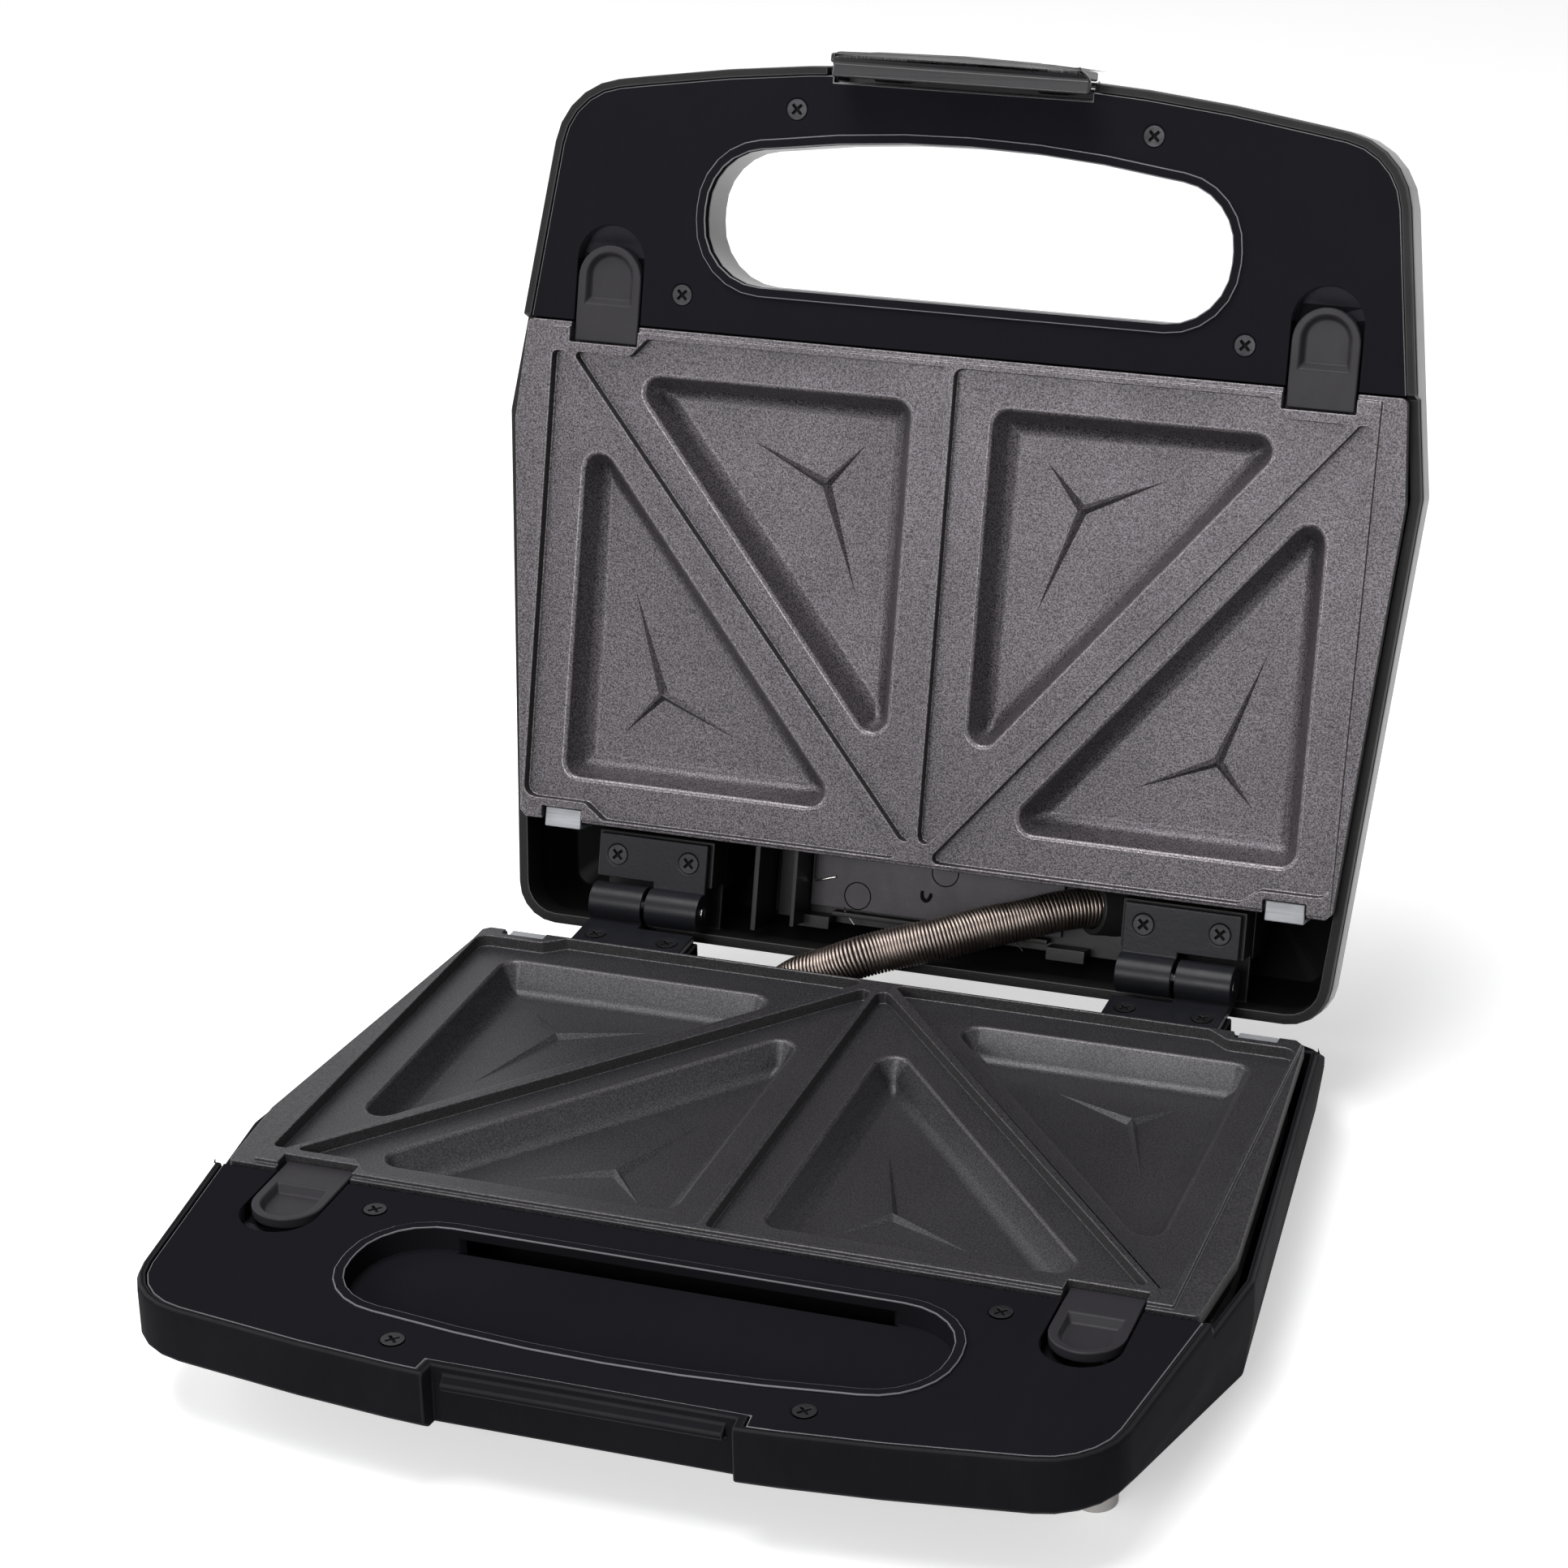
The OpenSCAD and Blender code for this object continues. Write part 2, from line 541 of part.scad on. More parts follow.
inner_cell = rounded([[ridge_w / 2, front_rim], [button_x - 12.2, front_rim], [button_x - 7.8, notch_rim],
    [ridge_front.x - ridge_shift, notch_rim], [ridge_w / 2, rear_rim - 1.4]], [2, 2, 2, 1, 2], 3);
land_x = rim_half - land_side;
pocket_rear = corner_rim - land_rear;
pocket_tip = [rim_half / 5 + 0.2, pocket_rear];
pocket_nose = [land_x, pocket_rear - plate_depth + 39.2];
cell_mid = [(rim_half + 1) / 2, (rear_rim + front_rim) / 2 - 0.3];
outer_pocket = [pocket_nose, [land_x, pocket_rear], pocket_tip];
function turned(pts) = [for (p = pts) 2 * cell_mid - p];
function pocket_outline(pts, g) = rounded(grow(pts, g), [for (p = pts) max(pocket_r + g, 0.8)], 5);
module pocket_cut(pts) {
    deep = pocket_depth - land_depth;
    hull() {
        slab(pocket_outline(pts, 0.4), -land_depth + 1, -land_depth);
        slab(pocket_outline(pts, -0.9), -land_depth, -land_depth - deep * 0.35);
        slab(pocket_outline(pts, -2.4), -land_depth, -land_depth - deep * 0.75);
        slab(pocket_outline(pts, -4.2), -land_depth, -pocket_depth);
    }
}
star_hub = [land_x - 23.6, plate_rear - 35.6];
star_arms = [[10.7, -29.5], [10.7, 11.8], [-22.5, 9.9]];
// Three tapering ridges that meet in a raised peak.
module star(arms) {
    notch_at = [for (i = [0:2]) 1.5 * unit(unit(arms[i]) + unit(arms[(i + 1) % 3]))];
    ring = [for (i = [0:2]) each [arms[i], notch_at[i]]];
    pts = concat([[0, 0, star_h]], [for (p = ring) [p.x, p.y, 0]], [for (p = ring) [p.x, p.y, -0.6]]);
    polyhedron(pts, concat([for (i = [0:5]) [0, 1 + (i + 1) % 6, 1 + i]],
        [for (i = [0:5]) [1 + i, 1 + (i + 1) % 6, 7 + (i + 1) % 6, 7 + i]], [[7, 8, 9, 10, 11, 12]]));
}
module cooking_plate() {
    difference() {
        union() {
            difference() {
                union() {
                    slab(plate_outline(0), -wing_drop, -flange_drop);
                    slab(plate_outline(-skirt_step), -wing_drop - 1, -skirt_depth);
                }
                slab(plate_outline(-skirt_step - plate_t), -land_depth - plate_t, -skirt_depth - 1);
            }
            slab([[-rim_half - ridge_w, front_rim - ridge_w], [rim_half + ridge_w, front_rim - ridge_w],
                [rim_half + 0.7, plate_rear - 2.6], [rim_half - 1, plate_rear - 0.9], [1 - rim_half, plate_rear - 0.9],
                [-rim_half - 0.7, plate_rear - 2.6]], -meet, -wing_drop - 0.4);
            both_sides() for (pts = [outer_pocket, turned(outer_pocket)])
                slab(pocket_outline(pts, plate_t - 0.6), -land_depth - 1, -pocket_depth - plate_t);
            at_buttons() translate([-pocket_half - 2.4, plate_front, -skirt_depth])
                cube([2 * pocket_half + 4.8, notch_edge - plate_front + plate_t, skirt_depth - wing_drop]);
        }
        both_sides() {
            slab(outer_cell, 1, -land_depth);
            slab(inner_cell, 1, -land_depth);
            pocket_cut(outer_pocket);
            pocket_cut(turned(outer_pocket));
            translate([tab_in, plate_rear - 3.6, -3.2]) cube([tab_out - tab_in, 9, 9]);
        }
        at_buttons() {
            translate([-pocket_half - 0.2, plate_front - 1, cap_under - 0.3])
                cube([2 * pocket_half + 0.4, notch_edge - plate_front + 1, 9]);
            translate([-pocket_half - 0.2, plate_front - 1, -skirt_depth - 1])
                cube([2 * pocket_half + 0.4, ledge_edge - plate_front + 1, 19]);
        }
    }
    both_sides() {
        translate([star_hub.x, star_hub.y, -pocket_depth]) star(star_arms);
        translate([2 * cell_mid.x - star_hub.x, 2 * cell_mid.y - star_hub.y, -pocket_depth])
            star([for (a = star_arms) -a]);
    }
}
module lower_plate() { color([0.3, 0.29, 0.3]) place_base() cooking_plate(); }
module upper_plate() { color([0.42, 0.4, 0.41]) place_lid() cooking_plate(); }

// ---------- tray, element and thermostat ----------
tray_rim = -skirt_depth - seat;
tray_w = 1;
tray_in = skirt_step + plate_t - tray_w;     // how far the tray stands in from the plate's outline
tab_x0 = tab_in + 0.6;
tab_x1 = tab_out - 0.6;
module tray() {
    difference() {
        slab(plate_outline(-tray_in), tray_rim, tray_bottom);
        slab(plate_outline(-tray_in - tray_w), 0, tray_bottom + tray_t);
        at_posts() translate([0, 0, tray_bottom - 1]) cylinder(h = 4, r = screw_r);
    }
    at_posts() translate([6, -3, tray_bottom + tray_t - little])
        cube([5, 6, element_z - element_r - seat - tray_bottom - tray_t]);
    both_sides() {
        translate([tab_x0, plate_rear - tray_in - tray_w, tray_bottom])
            cube([tab_x1 - tab_x0, 2 + tray_in + tray_w, tray_t]);
        translate([tab_x0, plate_rear + 0.9, tray_bottom]) cube([tab_x1 - tab_x0, 1.1, -1.7 - tray_bottom]);
        translate([tab_x0, plate_rear - 3.2, -2.9]) cube([tab_x1 - tab_x0, 5.2, 1.2]);
    }
}
element_x = land_x - 15.8;
element_bend = 16;
module element() {
    y0 = plate_rear - 108;
    y1 = plate_rear - 22;
    r = element_bend;
    translate([0, 0, element_z]) {
        both_sides() {
            rod([0, y0, 0], [element_x - r, y0, 0], element_r);
            rod([element_x, y0 + r, 0], [element_x, y1 - r, 0], element_r);
            rod([16, y1, 0], [element_x - r, y1, 0], element_r);
            translate([element_x - r, y0 + r, 0]) rotate([0, 0, -90]) rotate_extrude(angle = 90)
                translate([r, 0]) circle(r = element_r);
            translate([element_x - r, y1 - r, 0]) rotate_extrude(angle = 90) translate([r, 0]) circle(r = element_r);
            rod([10, y1, 0], [16, y1, 0], 2);
        }
    }
}
module thermostat() {
    translate([0, plate_rear - 66, tray_bottom + tray_t + seat]) {
        cylinder(h = 3, r = 9);
        cylinder(h = -pocket_depth - plate_t - seat - tray_bottom - tray_t - 2.2, r = 6.5);
        both_sides() translate([6, -2, 0]) cube([6, 4, 1]);
    }
}
module lower_tray() { color([0.75, 0.76, 0.78]) place_base() tray(); }
module upper_tray() { color([0.75, 0.76, 0.78]) place_lid() tray(); }
module lower_element() { color([0.5, 0.48, 0.46]) place_base() element(); }
module upper_element() { color([0.5, 0.48, 0.46]) place_lid() element(); }
module lower_thermostat() { color([0.8, 0.78, 0.7]) place_base() thermostat(); }
module upper_thermostat() { color([0.8, 0.78, 0.7]) place_lid() thermostat(); }

// ---------- hinges ----------
// One leaf with its knuckle; the base's knuckle is the outer one, the lid's the inner one.
module leaf(in_base) {
    knuckle_x = hinge_inner_x + (in_base ? knuckle_len + knuckle_gap : 0);
    axis_z = in_base ? hinge_rise : -hinge_rise;
    difference() {
        union() {
            translate([hinge_inner_x, leaf_front, -leaf_drop - leaf_t]) cube([leaf_w, leaf_back - leaf_front, leaf_t]);
            translate([knuckle_x, leaf_front, -leaf_drop - leaf_t]) cube([knuckle_len, hinge_y - leaf_front, leaf_t]);
            translate([knuckle_x, hinge_y, axis_z]) rotate([0, 90, 0]) cylinder(h = knuckle_len, r = knuckle_r);
        }
        translate([knuckle_x - 1, hinge_y, axis_z]) rotate([0, 90, 0])
            cylinder(h = knuckle_len + 2, r = in_base ? pin_r : pin_r + pin_play);
        for (x = leaf_screw_xs) translate([x, leaf_screw_y, -9]) {
            cylinder(h = 20, r = screw_r + 0.1);
            translate([0, 0, 9 - leaf_drop - 1.3]) cylinder(h = 3, r1 = screw_r + 0.2, r2 = screw_r + 0.2 + 3);
        }
    }
}
module lower_leaf_right() { color([0.15, 0.15, 0.17]) place_base() leaf(true); }
module lower_leaf_left() { color([0.15, 0.15, 0.17]) place_base() mirror([1, 0, 0]) leaf(true); }
module upper_leaf_right() { color([0.15, 0.15, 0.17]) place_lid() leaf(false); }
module upper_leaf_left() { color([0.15, 0.15, 0.17]) place_lid() mirror([1, 0, 0]) leaf(false); }
module hinge_pins() {
    color([0.6, 0.6, 0.62]) place_base() both_sides() translate([hinge_inner_x - 0.4, hinge_y, hinge_rise])
        rotate([0, 90, 0]) cylinder(h = leaf_w + 0.4, r = pin_r);
}
module leaf_screws() { at_leaf_screws() translate([0, 0, -leaf_drop + seat]) screw(7); }
module lower_leaf_screws() { color([0.3, 0.3, 0.31]) place_base() leaf_screws(); }
module upper_leaf_screws() { color([0.3, 0.3, 0.31]) place_lid() leaf_screws(); }

// ---------- lid ----------
rim_h = 2.6;                                 // height of the black rim above the cover's edge
cover_proud = 0.3;
skirt_in = cover_proud - wall - seat;        // outer face of the rim's locating skirt
skirt_bottom = -14.8;
skirt_floor = wall + seat - lid_handle_depth;  // under this the skirt would touch the cover's handle floor
recess_from = latch_x - latch_w / 2 - 1.6;
recess_to = latch_x + latch_w / 2 + 0.7;
recess_y = front_y + 5.2;
recess_bottom = -12.7;
module latch_recess(g) {
    slab([[recess_from - g, front_y - 9], [recess_to + g, front_y - 9], [recess_to + g, recess_y + g],
        [recess_from - g, recess_y + g]], 9, recess_bottom - g);
}
module lid_solid(inset, up) {
    intersection() {
        hull() {
            slab(lid_outline(cover_proud - inset), 5, 28 - lid_depth);
            slab(lid_outline(cover_proud - 5 - inset), 5, 12 - lid_depth + up * 0.7);
            slab(lid_outline(cover_proud - 21 - inset), 5, up - lid_depth);
        }
        across([[rear_y + 4, 6], [front_y - 4, 6], [front_y - 4, up + 1.5 - lid_handle_depth],
            [front_y + 17, up - lid_handle_depth], [plate_front - 12, up - lid_handle_depth - 1],
            [plate_front - 2, up + 17 - lid_depth], [plate_front + 30, up + 6 - lid_depth],
            [plate_front + 60, up - lid_depth], [rear_y - 17, up - lid_depth], [rear_y + 4, up + 23 - lid_depth]]);
    }
}
leaf_shelf = [leaf_w + 2, rear_y - wall - leaf_front + 0.6, 2];
module lid_frame() {
    color([0.2, 0.19, 0.18]) place_lid() {
        difference() {
            union() {
                intersection() {
                    difference() {
                        slab(lid_outline(0), 0, -side_drop - rim_h - 1);
                        slab(lid_outline(skirt_in - 0.3), 1, -side_drop - rim_h - 2);
                    }
                    translate([0, 0, -rim_h]) above_rim(false);
                }
                difference() {
                    slab(lid_outline(skirt_in), 0, skirt_bottom);
                    slab(lid_outline(skirt_in - 0.3), 1, panel_under - seat);
                    slab(lid_outline(skirt_in - 0.9), 1, skirt_bottom - 1);
                    across([[front_y - 4, skirt_floor + 1.6], [front_y + 17, skirt_floor],
                        [plate_front, skirt_floor], [plate_front, -lid_depth], [front_y - 4, -lid_depth]]);
                }
            }
            above_rim(false);
            latch_recess(wall + seat);
        }
        hinge_posts(skirt_bottom);
        both_sides() translate([hinge_inner_x - 1, leaf_front - 0.6, skirt_bottom]) cube(leaf_shelf);
    }
}
lens_r = 3;
lens_spots = [[-12, plate_front + 14.5], [12, plate_front + 14.5]];
lens_flange_z = 14.9 - lid_depth;
board_front = hinge_y - 16.1;
board_back = hinge_y + 1.9;
board_z = -24;
board_t = 1.6;
board_from = -44;
board_to = 54;
board_posts = [for (x = [-38, -10, 22]) [x, hinge_y - 7.1]];
lid_mouth = [44, hinge_y - 12.1, -20];
lid_end = [51, hinge_y - 11.6, -27];
latch_pin_r = 1.25;
latch_pin_at = [front_y + 2, -8];
module lid_cover() {
    color([0.68, 0.68, 0.7]) place_lid() difference() {
        union() {
            difference() {
                lid_solid(0, 0);
                difference() {
                    lid_solid(wall, wall);
                    latch_recess(wall);
                }
            }
            intersection() {
                lid_solid(1, 1);
                union() {
                    slab(grip_outline(1.6), panel_under - seat, -lid_depth);
                    at_panel_screws() translate([0, 0, -lid_depth]) cylinder(h = lid_depth + panel_under, r = stem_r);
                    at_posts() translate([0, 0, -lid_depth]) cylinder(h = lid_depth + tray_bottom, r = 4.5);
                    for (p = board_posts) translate([p.x, p.y, -lid_depth])
                        cylinder(h = lid_depth + board_z - board_t - seat, r = 3);
                    both_sides() translate([hinge_inner_x - 1, leaf_front - 0.6, -lid_depth])
                        cube([leaf_shelf.x, 14, lid_depth + skirt_bottom - seat]);
                }
            }
        }
        translate([0, 0, -rim_h - seat]) above_rim(false);
        latch_recess(0);
        slab(grip_outline(0), 3, -lid_depth - 5);
        at_panel_screws() translate([0, 0, panel_under - 8]) cylinder(h = 20, r = screw_r);
        for (p = lens_spots) translate([p.x, p.y, -lid_depth]) cylinder(h = lid_depth, r = lens_r + seat);
        translate([recess_from - 1.5, latch_pin_at.x, latch_pin_at.y]) rotate([0, 90, 0])
            cylinder(h = recess_to - recess_from + 3, r = latch_pin_r);
    }
}
module lens(spot) {
    translate([spot.x, spot.y, lens_flange_z]) {
        translate([0, 0, -5.2]) cylinder(h = 5.3, r = lens_r);
        cylinder(h = 1.1, r = lens_r + 1.2);
    }
}
module power_lens() { color([0.7, 0.1, 0.08]) place_lid() lens(lens_spots[0]); }
module ready_lens() { color([0.15, 0.55, 0.15]) place_lid() lens(lens_spots[1]); }
module wiring_board() {
    color([0.16, 0.16, 0.17]) place_lid() difference() {
        translate([board_from, board_front, board_z - board_t]) cube([board_to - board_from,
            board_back - board_front, board_t]);
        rod(2 * lid_mouth - lid_end, 1.4 * lid_end - 0.4 * lid_mouth, conduit_r + collar_wall + seat);
        for (p = board_posts) translate([p.x, p.y, board_z - board_t - 1]) cylinder(h = 4, r = screw_r);
    }
}
module lid_conduit_collar() { color([0.1, 0.1, 0.11]) place_lid() collar(lid_end, lid_mouth); }

// ---------- latch ----------
latch_proud = 2.9;                           // how far the latch's face stands out from the lid's front edge
latch_top = -11.5;
hook_top = rim_drop + catch_h + 0.3;
hook_bottom = hook_top + 3.2;
hook_tip = catch_y + 0.7;
lip_from = 0.5 - notch_half + 0.9;            // ends of the lip, clear of the notch's sides
lip_to = notch_half - 3.8;
lug_r = 2.4;
pin_clear = 0.05;
module latch() {
    x0 = latch_x - latch_w / 2;
    color([0.22, 0.22, 0.24]) place_lid() difference() {
        union() {
            intersection() {
                difference() {
                    slab(lid_outline(latch_proud), hook_top + 1, latch_top);
                    slab(lid_outline(latch_proud - latch_t), hook_top + 2, latch_top - 1);
                }
                translate([0, plate_front, 0]) rotate([90, 0, 0]) linear_extrude(2 * handle_len)
                    polygon(rounded([[x0, latch_top], [x0 + latch_w, latch_top], [x0 + latch_w, hook_top + 1],
                        [x0, hook_top + 1]], [3, 3, 0, 0]));
            }
            intersection() {
                slab(lid_outline(latch_proud), hook_bottom, hook_top);
                slab(rounded([[lip_from, front_y - latch_proud + 1.6], [-1.5, front_y - latch_proud - 1.5],
                    [lip_to, front_y - latch_proud + 1.6], [lip_to, hook_tip], [lip_from, hook_tip]],
                    [1.7, 0, 3.4, 0.5, 0.5]), hook_bottom, hook_top);
                across([[front_y - 9, hook_bottom], [front_y - 0.6, hook_bottom], [front_y + 0.8, hook_bottom - 1.4],
                    [hook_tip, hook_bottom - 0.5], [hook_tip, hook_top], [front_y - 9, hook_top]]);
            }
            for (x = [x0 + 7, x0 + latch_w - 15]) {
                translate([x, front_y - 0.6, latch_pin_at.y - lug_r]) cube([8, latch_pin_at.x - front_y + 0.6,
                    2 * lug_r]);
                translate([x, latch_pin_at.x, latch_pin_at.y]) rotate([0, 90, 0]) cylinder(h = 8, r = lug_r);
            }
        }
        translate([x0 - 1, latch_pin_at.x, latch_pin_at.y]) rotate([0, 90, 0])
            cylinder(h = latch_w + 2, r = latch_pin_r + pin_clear);
    }
}
module latch_pin() {
    color([0.6, 0.6, 0.62]) place_lid() translate([recess_from - 1.4, latch_pin_at.x, latch_pin_at.y])
        rotate([0, 90, 0]) cylinder(h = recess_to - recess_from + 2.8, r = latch_pin_r);
}

// ---------- conduit ----------
// A point of the lid as drawn, moved to where it stands with the lid open, in base coordinates.
function in_open_lid(p) = let (dy = p.y - hinge_y, dz = -p.z - hinge_rise)
    [p.x, hinge_y + dy * cos(open_angle) + dz * sin(open_angle), hinge_rise - dy * sin(open_angle)
    + dz * cos(open_angle)];
route = [base_end, base_mouth, [-26, 98.4, -7.5], [-19, 98.6, -4.5], [-11, 100, -1], [-2.5, 104, 1],
    [9, 108.5, 3.5], [20, 115, 5.5], [28, 119.5, 6.5], [36, 124, 8], in_open_lid(lid_mouth), in_open_lid(lid_end)];
function spline(a, b, c, d, t) = 0.5 * (2 * b + (c - a) * t + (2 * a - 5 * b + 4 * c - d) * t * t
    + (3 * b - a - 3 * c + d) * t * t * t);
module conduit() {
    sides = 10; cuts = 4; n = len(route);
    path = concat([for (i = [0:n - 2]) for (k = [0:cuts - 1])
        spline(route[max(i - 1, 0)], route[i], route[i + 1], route[min(i + 2, n - 1)], k / cuts)], [route[n - 1]]);
    m = len(path);
    rings = [for (i = [0:m - 1]) let (t = unit(path[min(i + 1, m - 1)] - path[max(i - 1, 0)]),
        u = unit(cross(t, [0, 0, 1])), v = cross(u, t)) for (s = [0:sides - 1])
        let (a = 360 * s / sides) path[i] + conduit_r * (u * cos(a) + v * sin(a))];
    color("silver") place_base() polyhedron(rings, concat([[for (s = [0:sides - 1]) s]],
        [for (i = [0:m - 2]) for (s = [0:sides - 1]) let (w = (s + 1) % sides)
            each [[i * sides + w, i * sides + s, (i + 1) * sides + s],
            [i * sides + w, (i + 1) * sides + s, (i + 1) * sides + w]]],
        [[for (s = [sides - 1:-1:0]) (m - 1) * sides + s]]), convexity = 4);
}

base_housing();
base_panel();
lower_plate();
lower_tray();
lower_element();
lower_thermostat();
lower_leaf_left();
lower_leaf_right();
hinge_pins();
lower_leaf_screws();
base_panel_screws();
feet();
cord_inlet();
base_conduit_collar();
conduit();
base_button_left();
base_button_right();
base_spring_left();
base_spring_right();
lid_cover();
lid_frame();
lid_panel();
upper_plate();
upper_tray();
upper_element();
upper_thermostat();
upper_leaf_left();
upper_leaf_right();
upper_leaf_screws();
lid_panel_screws();
wiring_board();
lid_conduit_collar();
power_lens();
ready_lens();
latch();
latch_pin();
lid_button_left();
lid_button_right();
lid_spring_left();
lid_spring_right();
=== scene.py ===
# Sandwich toaster, standing open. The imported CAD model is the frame; this script dresses it.
import json
import math

import bpy
import bmesh
from mathutils import Matrix, Vector
from mathutils.bvhtree import BVHTree


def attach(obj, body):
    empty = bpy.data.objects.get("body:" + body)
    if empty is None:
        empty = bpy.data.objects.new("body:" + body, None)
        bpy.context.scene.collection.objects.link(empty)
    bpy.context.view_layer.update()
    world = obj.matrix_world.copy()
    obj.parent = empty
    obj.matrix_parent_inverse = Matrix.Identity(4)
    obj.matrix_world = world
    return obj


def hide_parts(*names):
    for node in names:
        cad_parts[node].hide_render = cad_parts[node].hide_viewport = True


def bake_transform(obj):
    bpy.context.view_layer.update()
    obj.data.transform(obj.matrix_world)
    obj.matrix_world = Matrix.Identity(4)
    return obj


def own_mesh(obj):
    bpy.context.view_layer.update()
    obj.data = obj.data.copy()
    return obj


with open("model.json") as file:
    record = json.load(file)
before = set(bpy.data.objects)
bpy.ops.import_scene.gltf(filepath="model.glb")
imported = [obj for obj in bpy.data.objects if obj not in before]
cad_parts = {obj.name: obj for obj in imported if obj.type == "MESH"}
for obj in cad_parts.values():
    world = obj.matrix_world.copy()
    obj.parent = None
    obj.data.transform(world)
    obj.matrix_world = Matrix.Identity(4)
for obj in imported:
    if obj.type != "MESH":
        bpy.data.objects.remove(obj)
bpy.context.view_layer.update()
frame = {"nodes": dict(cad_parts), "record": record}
nodes = frame["nodes"]
scene = bpy.context.scene
bpy.ops.object.select_all(action="DESELECT")
print("frame loaded:", len(nodes), "nodes")

mm = 0.001  # a millimetre in Blender's metres
bodies = frame["record"]["behaviour"]["bodies"]
bodyOf = {nodeName: body for body, names in bodies.items() for nodeName in names}
slotOf = {row["node"]: row["material_slot"] for row in frame["record"]["subparts"]}

# where the two halves stand, in millimetres and degrees
stance = {
    "meetingHeight": 32.0,
    "hingeY": 108.1,
    "hingeRise": 1.3,
    "openAngle": 106.0,
}


# A point of the base; z is measured up from the meeting plane
def basePoint(x, y, z):
    return Vector((x, y, z + stance["meetingHeight"])) * mm


# Swings the lid, drawn shut on the meeting plane, to where it stands open
def lidTurn():
    hinge = Vector((0, stance["hingeY"], stance["hingeRise"])) * mm
    lift = Matrix.Translation(Vector((0, 0, stance["meetingHeight"] * mm)))
    turn = Matrix.Rotation(math.radians(-stance["openAngle"]), 4, "X")
    return lift @ Matrix.Translation(hinge) @ turn @ Matrix.Translation(-hinge)


# A point of the open lid; depth is measured into the lid from the meeting plane
def lidPoint(x, y, depth):
    return lidTurn() @ (Vector((x, y, depth)) * mm)


# Building blocks of the finishes
def nodeGroup(name, inputs, outputs):
    group = bpy.data.node_groups.new(name, "ShaderNodeTree")
    for label, kind, value in inputs:
        socket = group.interface.new_socket(name=label, in_out="INPUT", socket_type=kind)
        if value is not None:
            socket.default_value = value
    for label, kind in outputs:
        group.interface.new_socket(name=label, in_out="OUTPUT", socket_type=kind)
    return group, group.nodes.new("NodeGroupInput"), group.nodes.new("NodeGroupOutput")


def noise(tree, place, scale, detail=2.0, roughness=0.5):
    node = tree.nodes.new("ShaderNodeTexNoise")
    node.inputs["Detail"].default_value = detail
    node.inputs["Roughness"].default_value = roughness
    tree.links.new(place, node.inputs["Vector"])
    if isinstance(scale, (int, float)):
        node.inputs["Scale"].default_value = scale
    else:
        tree.links.new(scale, node.inputs["Scale"])
    return node.outputs["Fac"]


def ranged(tree, value, low, high, outLow=0.0, outHigh=1.0):
    node = tree.nodes.new("ShaderNodeMapRange")
    labels = ("From Min", "From Max", "To Min", "To Max")
    for label, number in zip(labels, (low, high, outLow, outHigh)):
        node.inputs[label].default_value = number
    tree.links.new(value, node.inputs["Value"])
    return node.outputs["Result"]


def calc(tree, operation, a, b):
    node = tree.nodes.new("ShaderNodeMath")
    node.operation = operation
    for socket, value in zip(node.inputs, (a, b)):
        if isinstance(value, (int, float)):
            socket.default_value = value
        else:
            tree.links.new(value, socket)
    return node.outputs[0]


def stretched(tree, place, scale):
    node = tree.nodes.new("ShaderNodeMapping")
    node.inputs["Scale"].default_value = scale
    tree.links.new(place, node.inputs["Vector"])
    return node.outputs["Vector"]


coatLook = {
    "fineness": 2400.0,
    "fleckDetail": 1.5,
    "fleckRoughness": 0.6,
    "fleckRange": (0.36, 0.66),
    "toneScale": 38.0,
    "toneDetail": 3.0,
    "toneRange": (0.3, 0.7),
}


# Sprayed non-stick coat: light and dark flecks over a slow change of tone
def makeCoatFlecks():
    group, given, put = nodeGroup("coatFlecks",
        [("Place", "NodeSocketVector", None), ("Fineness", "NodeSocketFloat", coatLook["fineness"])],
        [("Flecks", "NodeSocketFloat"), ("Tone", "NodeSocketFloat"), ("Height", "NodeSocketFloat")])
    place = given.outputs["Place"]
    fine = noise(group, place, given.outputs["Fineness"],
        coatLook["fleckDetail"], coatLook["fleckRoughness"])
    slow = noise(group, place, coatLook["toneScale"], coatLook["toneDetail"])
    group.links.new(ranged(group, fine, *coatLook["fleckRange"]), put.inputs["Flecks"])
    group.links.new(ranged(group, slow, *coatLook["toneRange"]), put.inputs["Tone"])
    group.links.new(fine, put.inputs["Height"])
    return group


mouldLook = {
    "fineness": 1500.0,
    "grainDetail": 2.0,
    "grainRoughness": 0.55,
    "markScale": 26.0,
    "markDetail": 4.0,
    "markRoughness": 0.62,
    "streakStretch": (300.0, 34.0, 120.0),
    "streakShare": 0.25,
    "handlingRange": (0.34, 0.66),
}


# Fine spark-eroded grain of a moulding, with faint handling marks
def makeMouldGrain():
    group, given, put = nodeGroup("mouldGrain",
        [("Place", "NodeSocketVector", None), ("Fineness", "NodeSocketFloat", mouldLook["fineness"])],
        [("Height", "NodeSocketFloat"), ("Handling", "NodeSocketFloat")])
    place = given.outputs["Place"]
    fine = noise(group, place, given.outputs["Fineness"],
        mouldLook["grainDetail"], mouldLook["grainRoughness"])
    marks = noise(group, place, mouldLook["markScale"], mouldLook["markDetail"], mouldLook["markRoughness"])
    streaks = noise(group, stretched(group, place, mouldLook["streakStretch"]), 1.0)
    share = mouldLook["streakShare"]
    mixed = calc(group, "ADD",
        calc(group, "MULTIPLY", marks, 1 - share), calc(group, "MULTIPLY", streaks, share))
    group.links.new(fine, put.inputs["Height"])
    group.links.new(ranged(group, mixed, *mouldLook["handlingRange"]), put.inputs["Handling"])
    return group


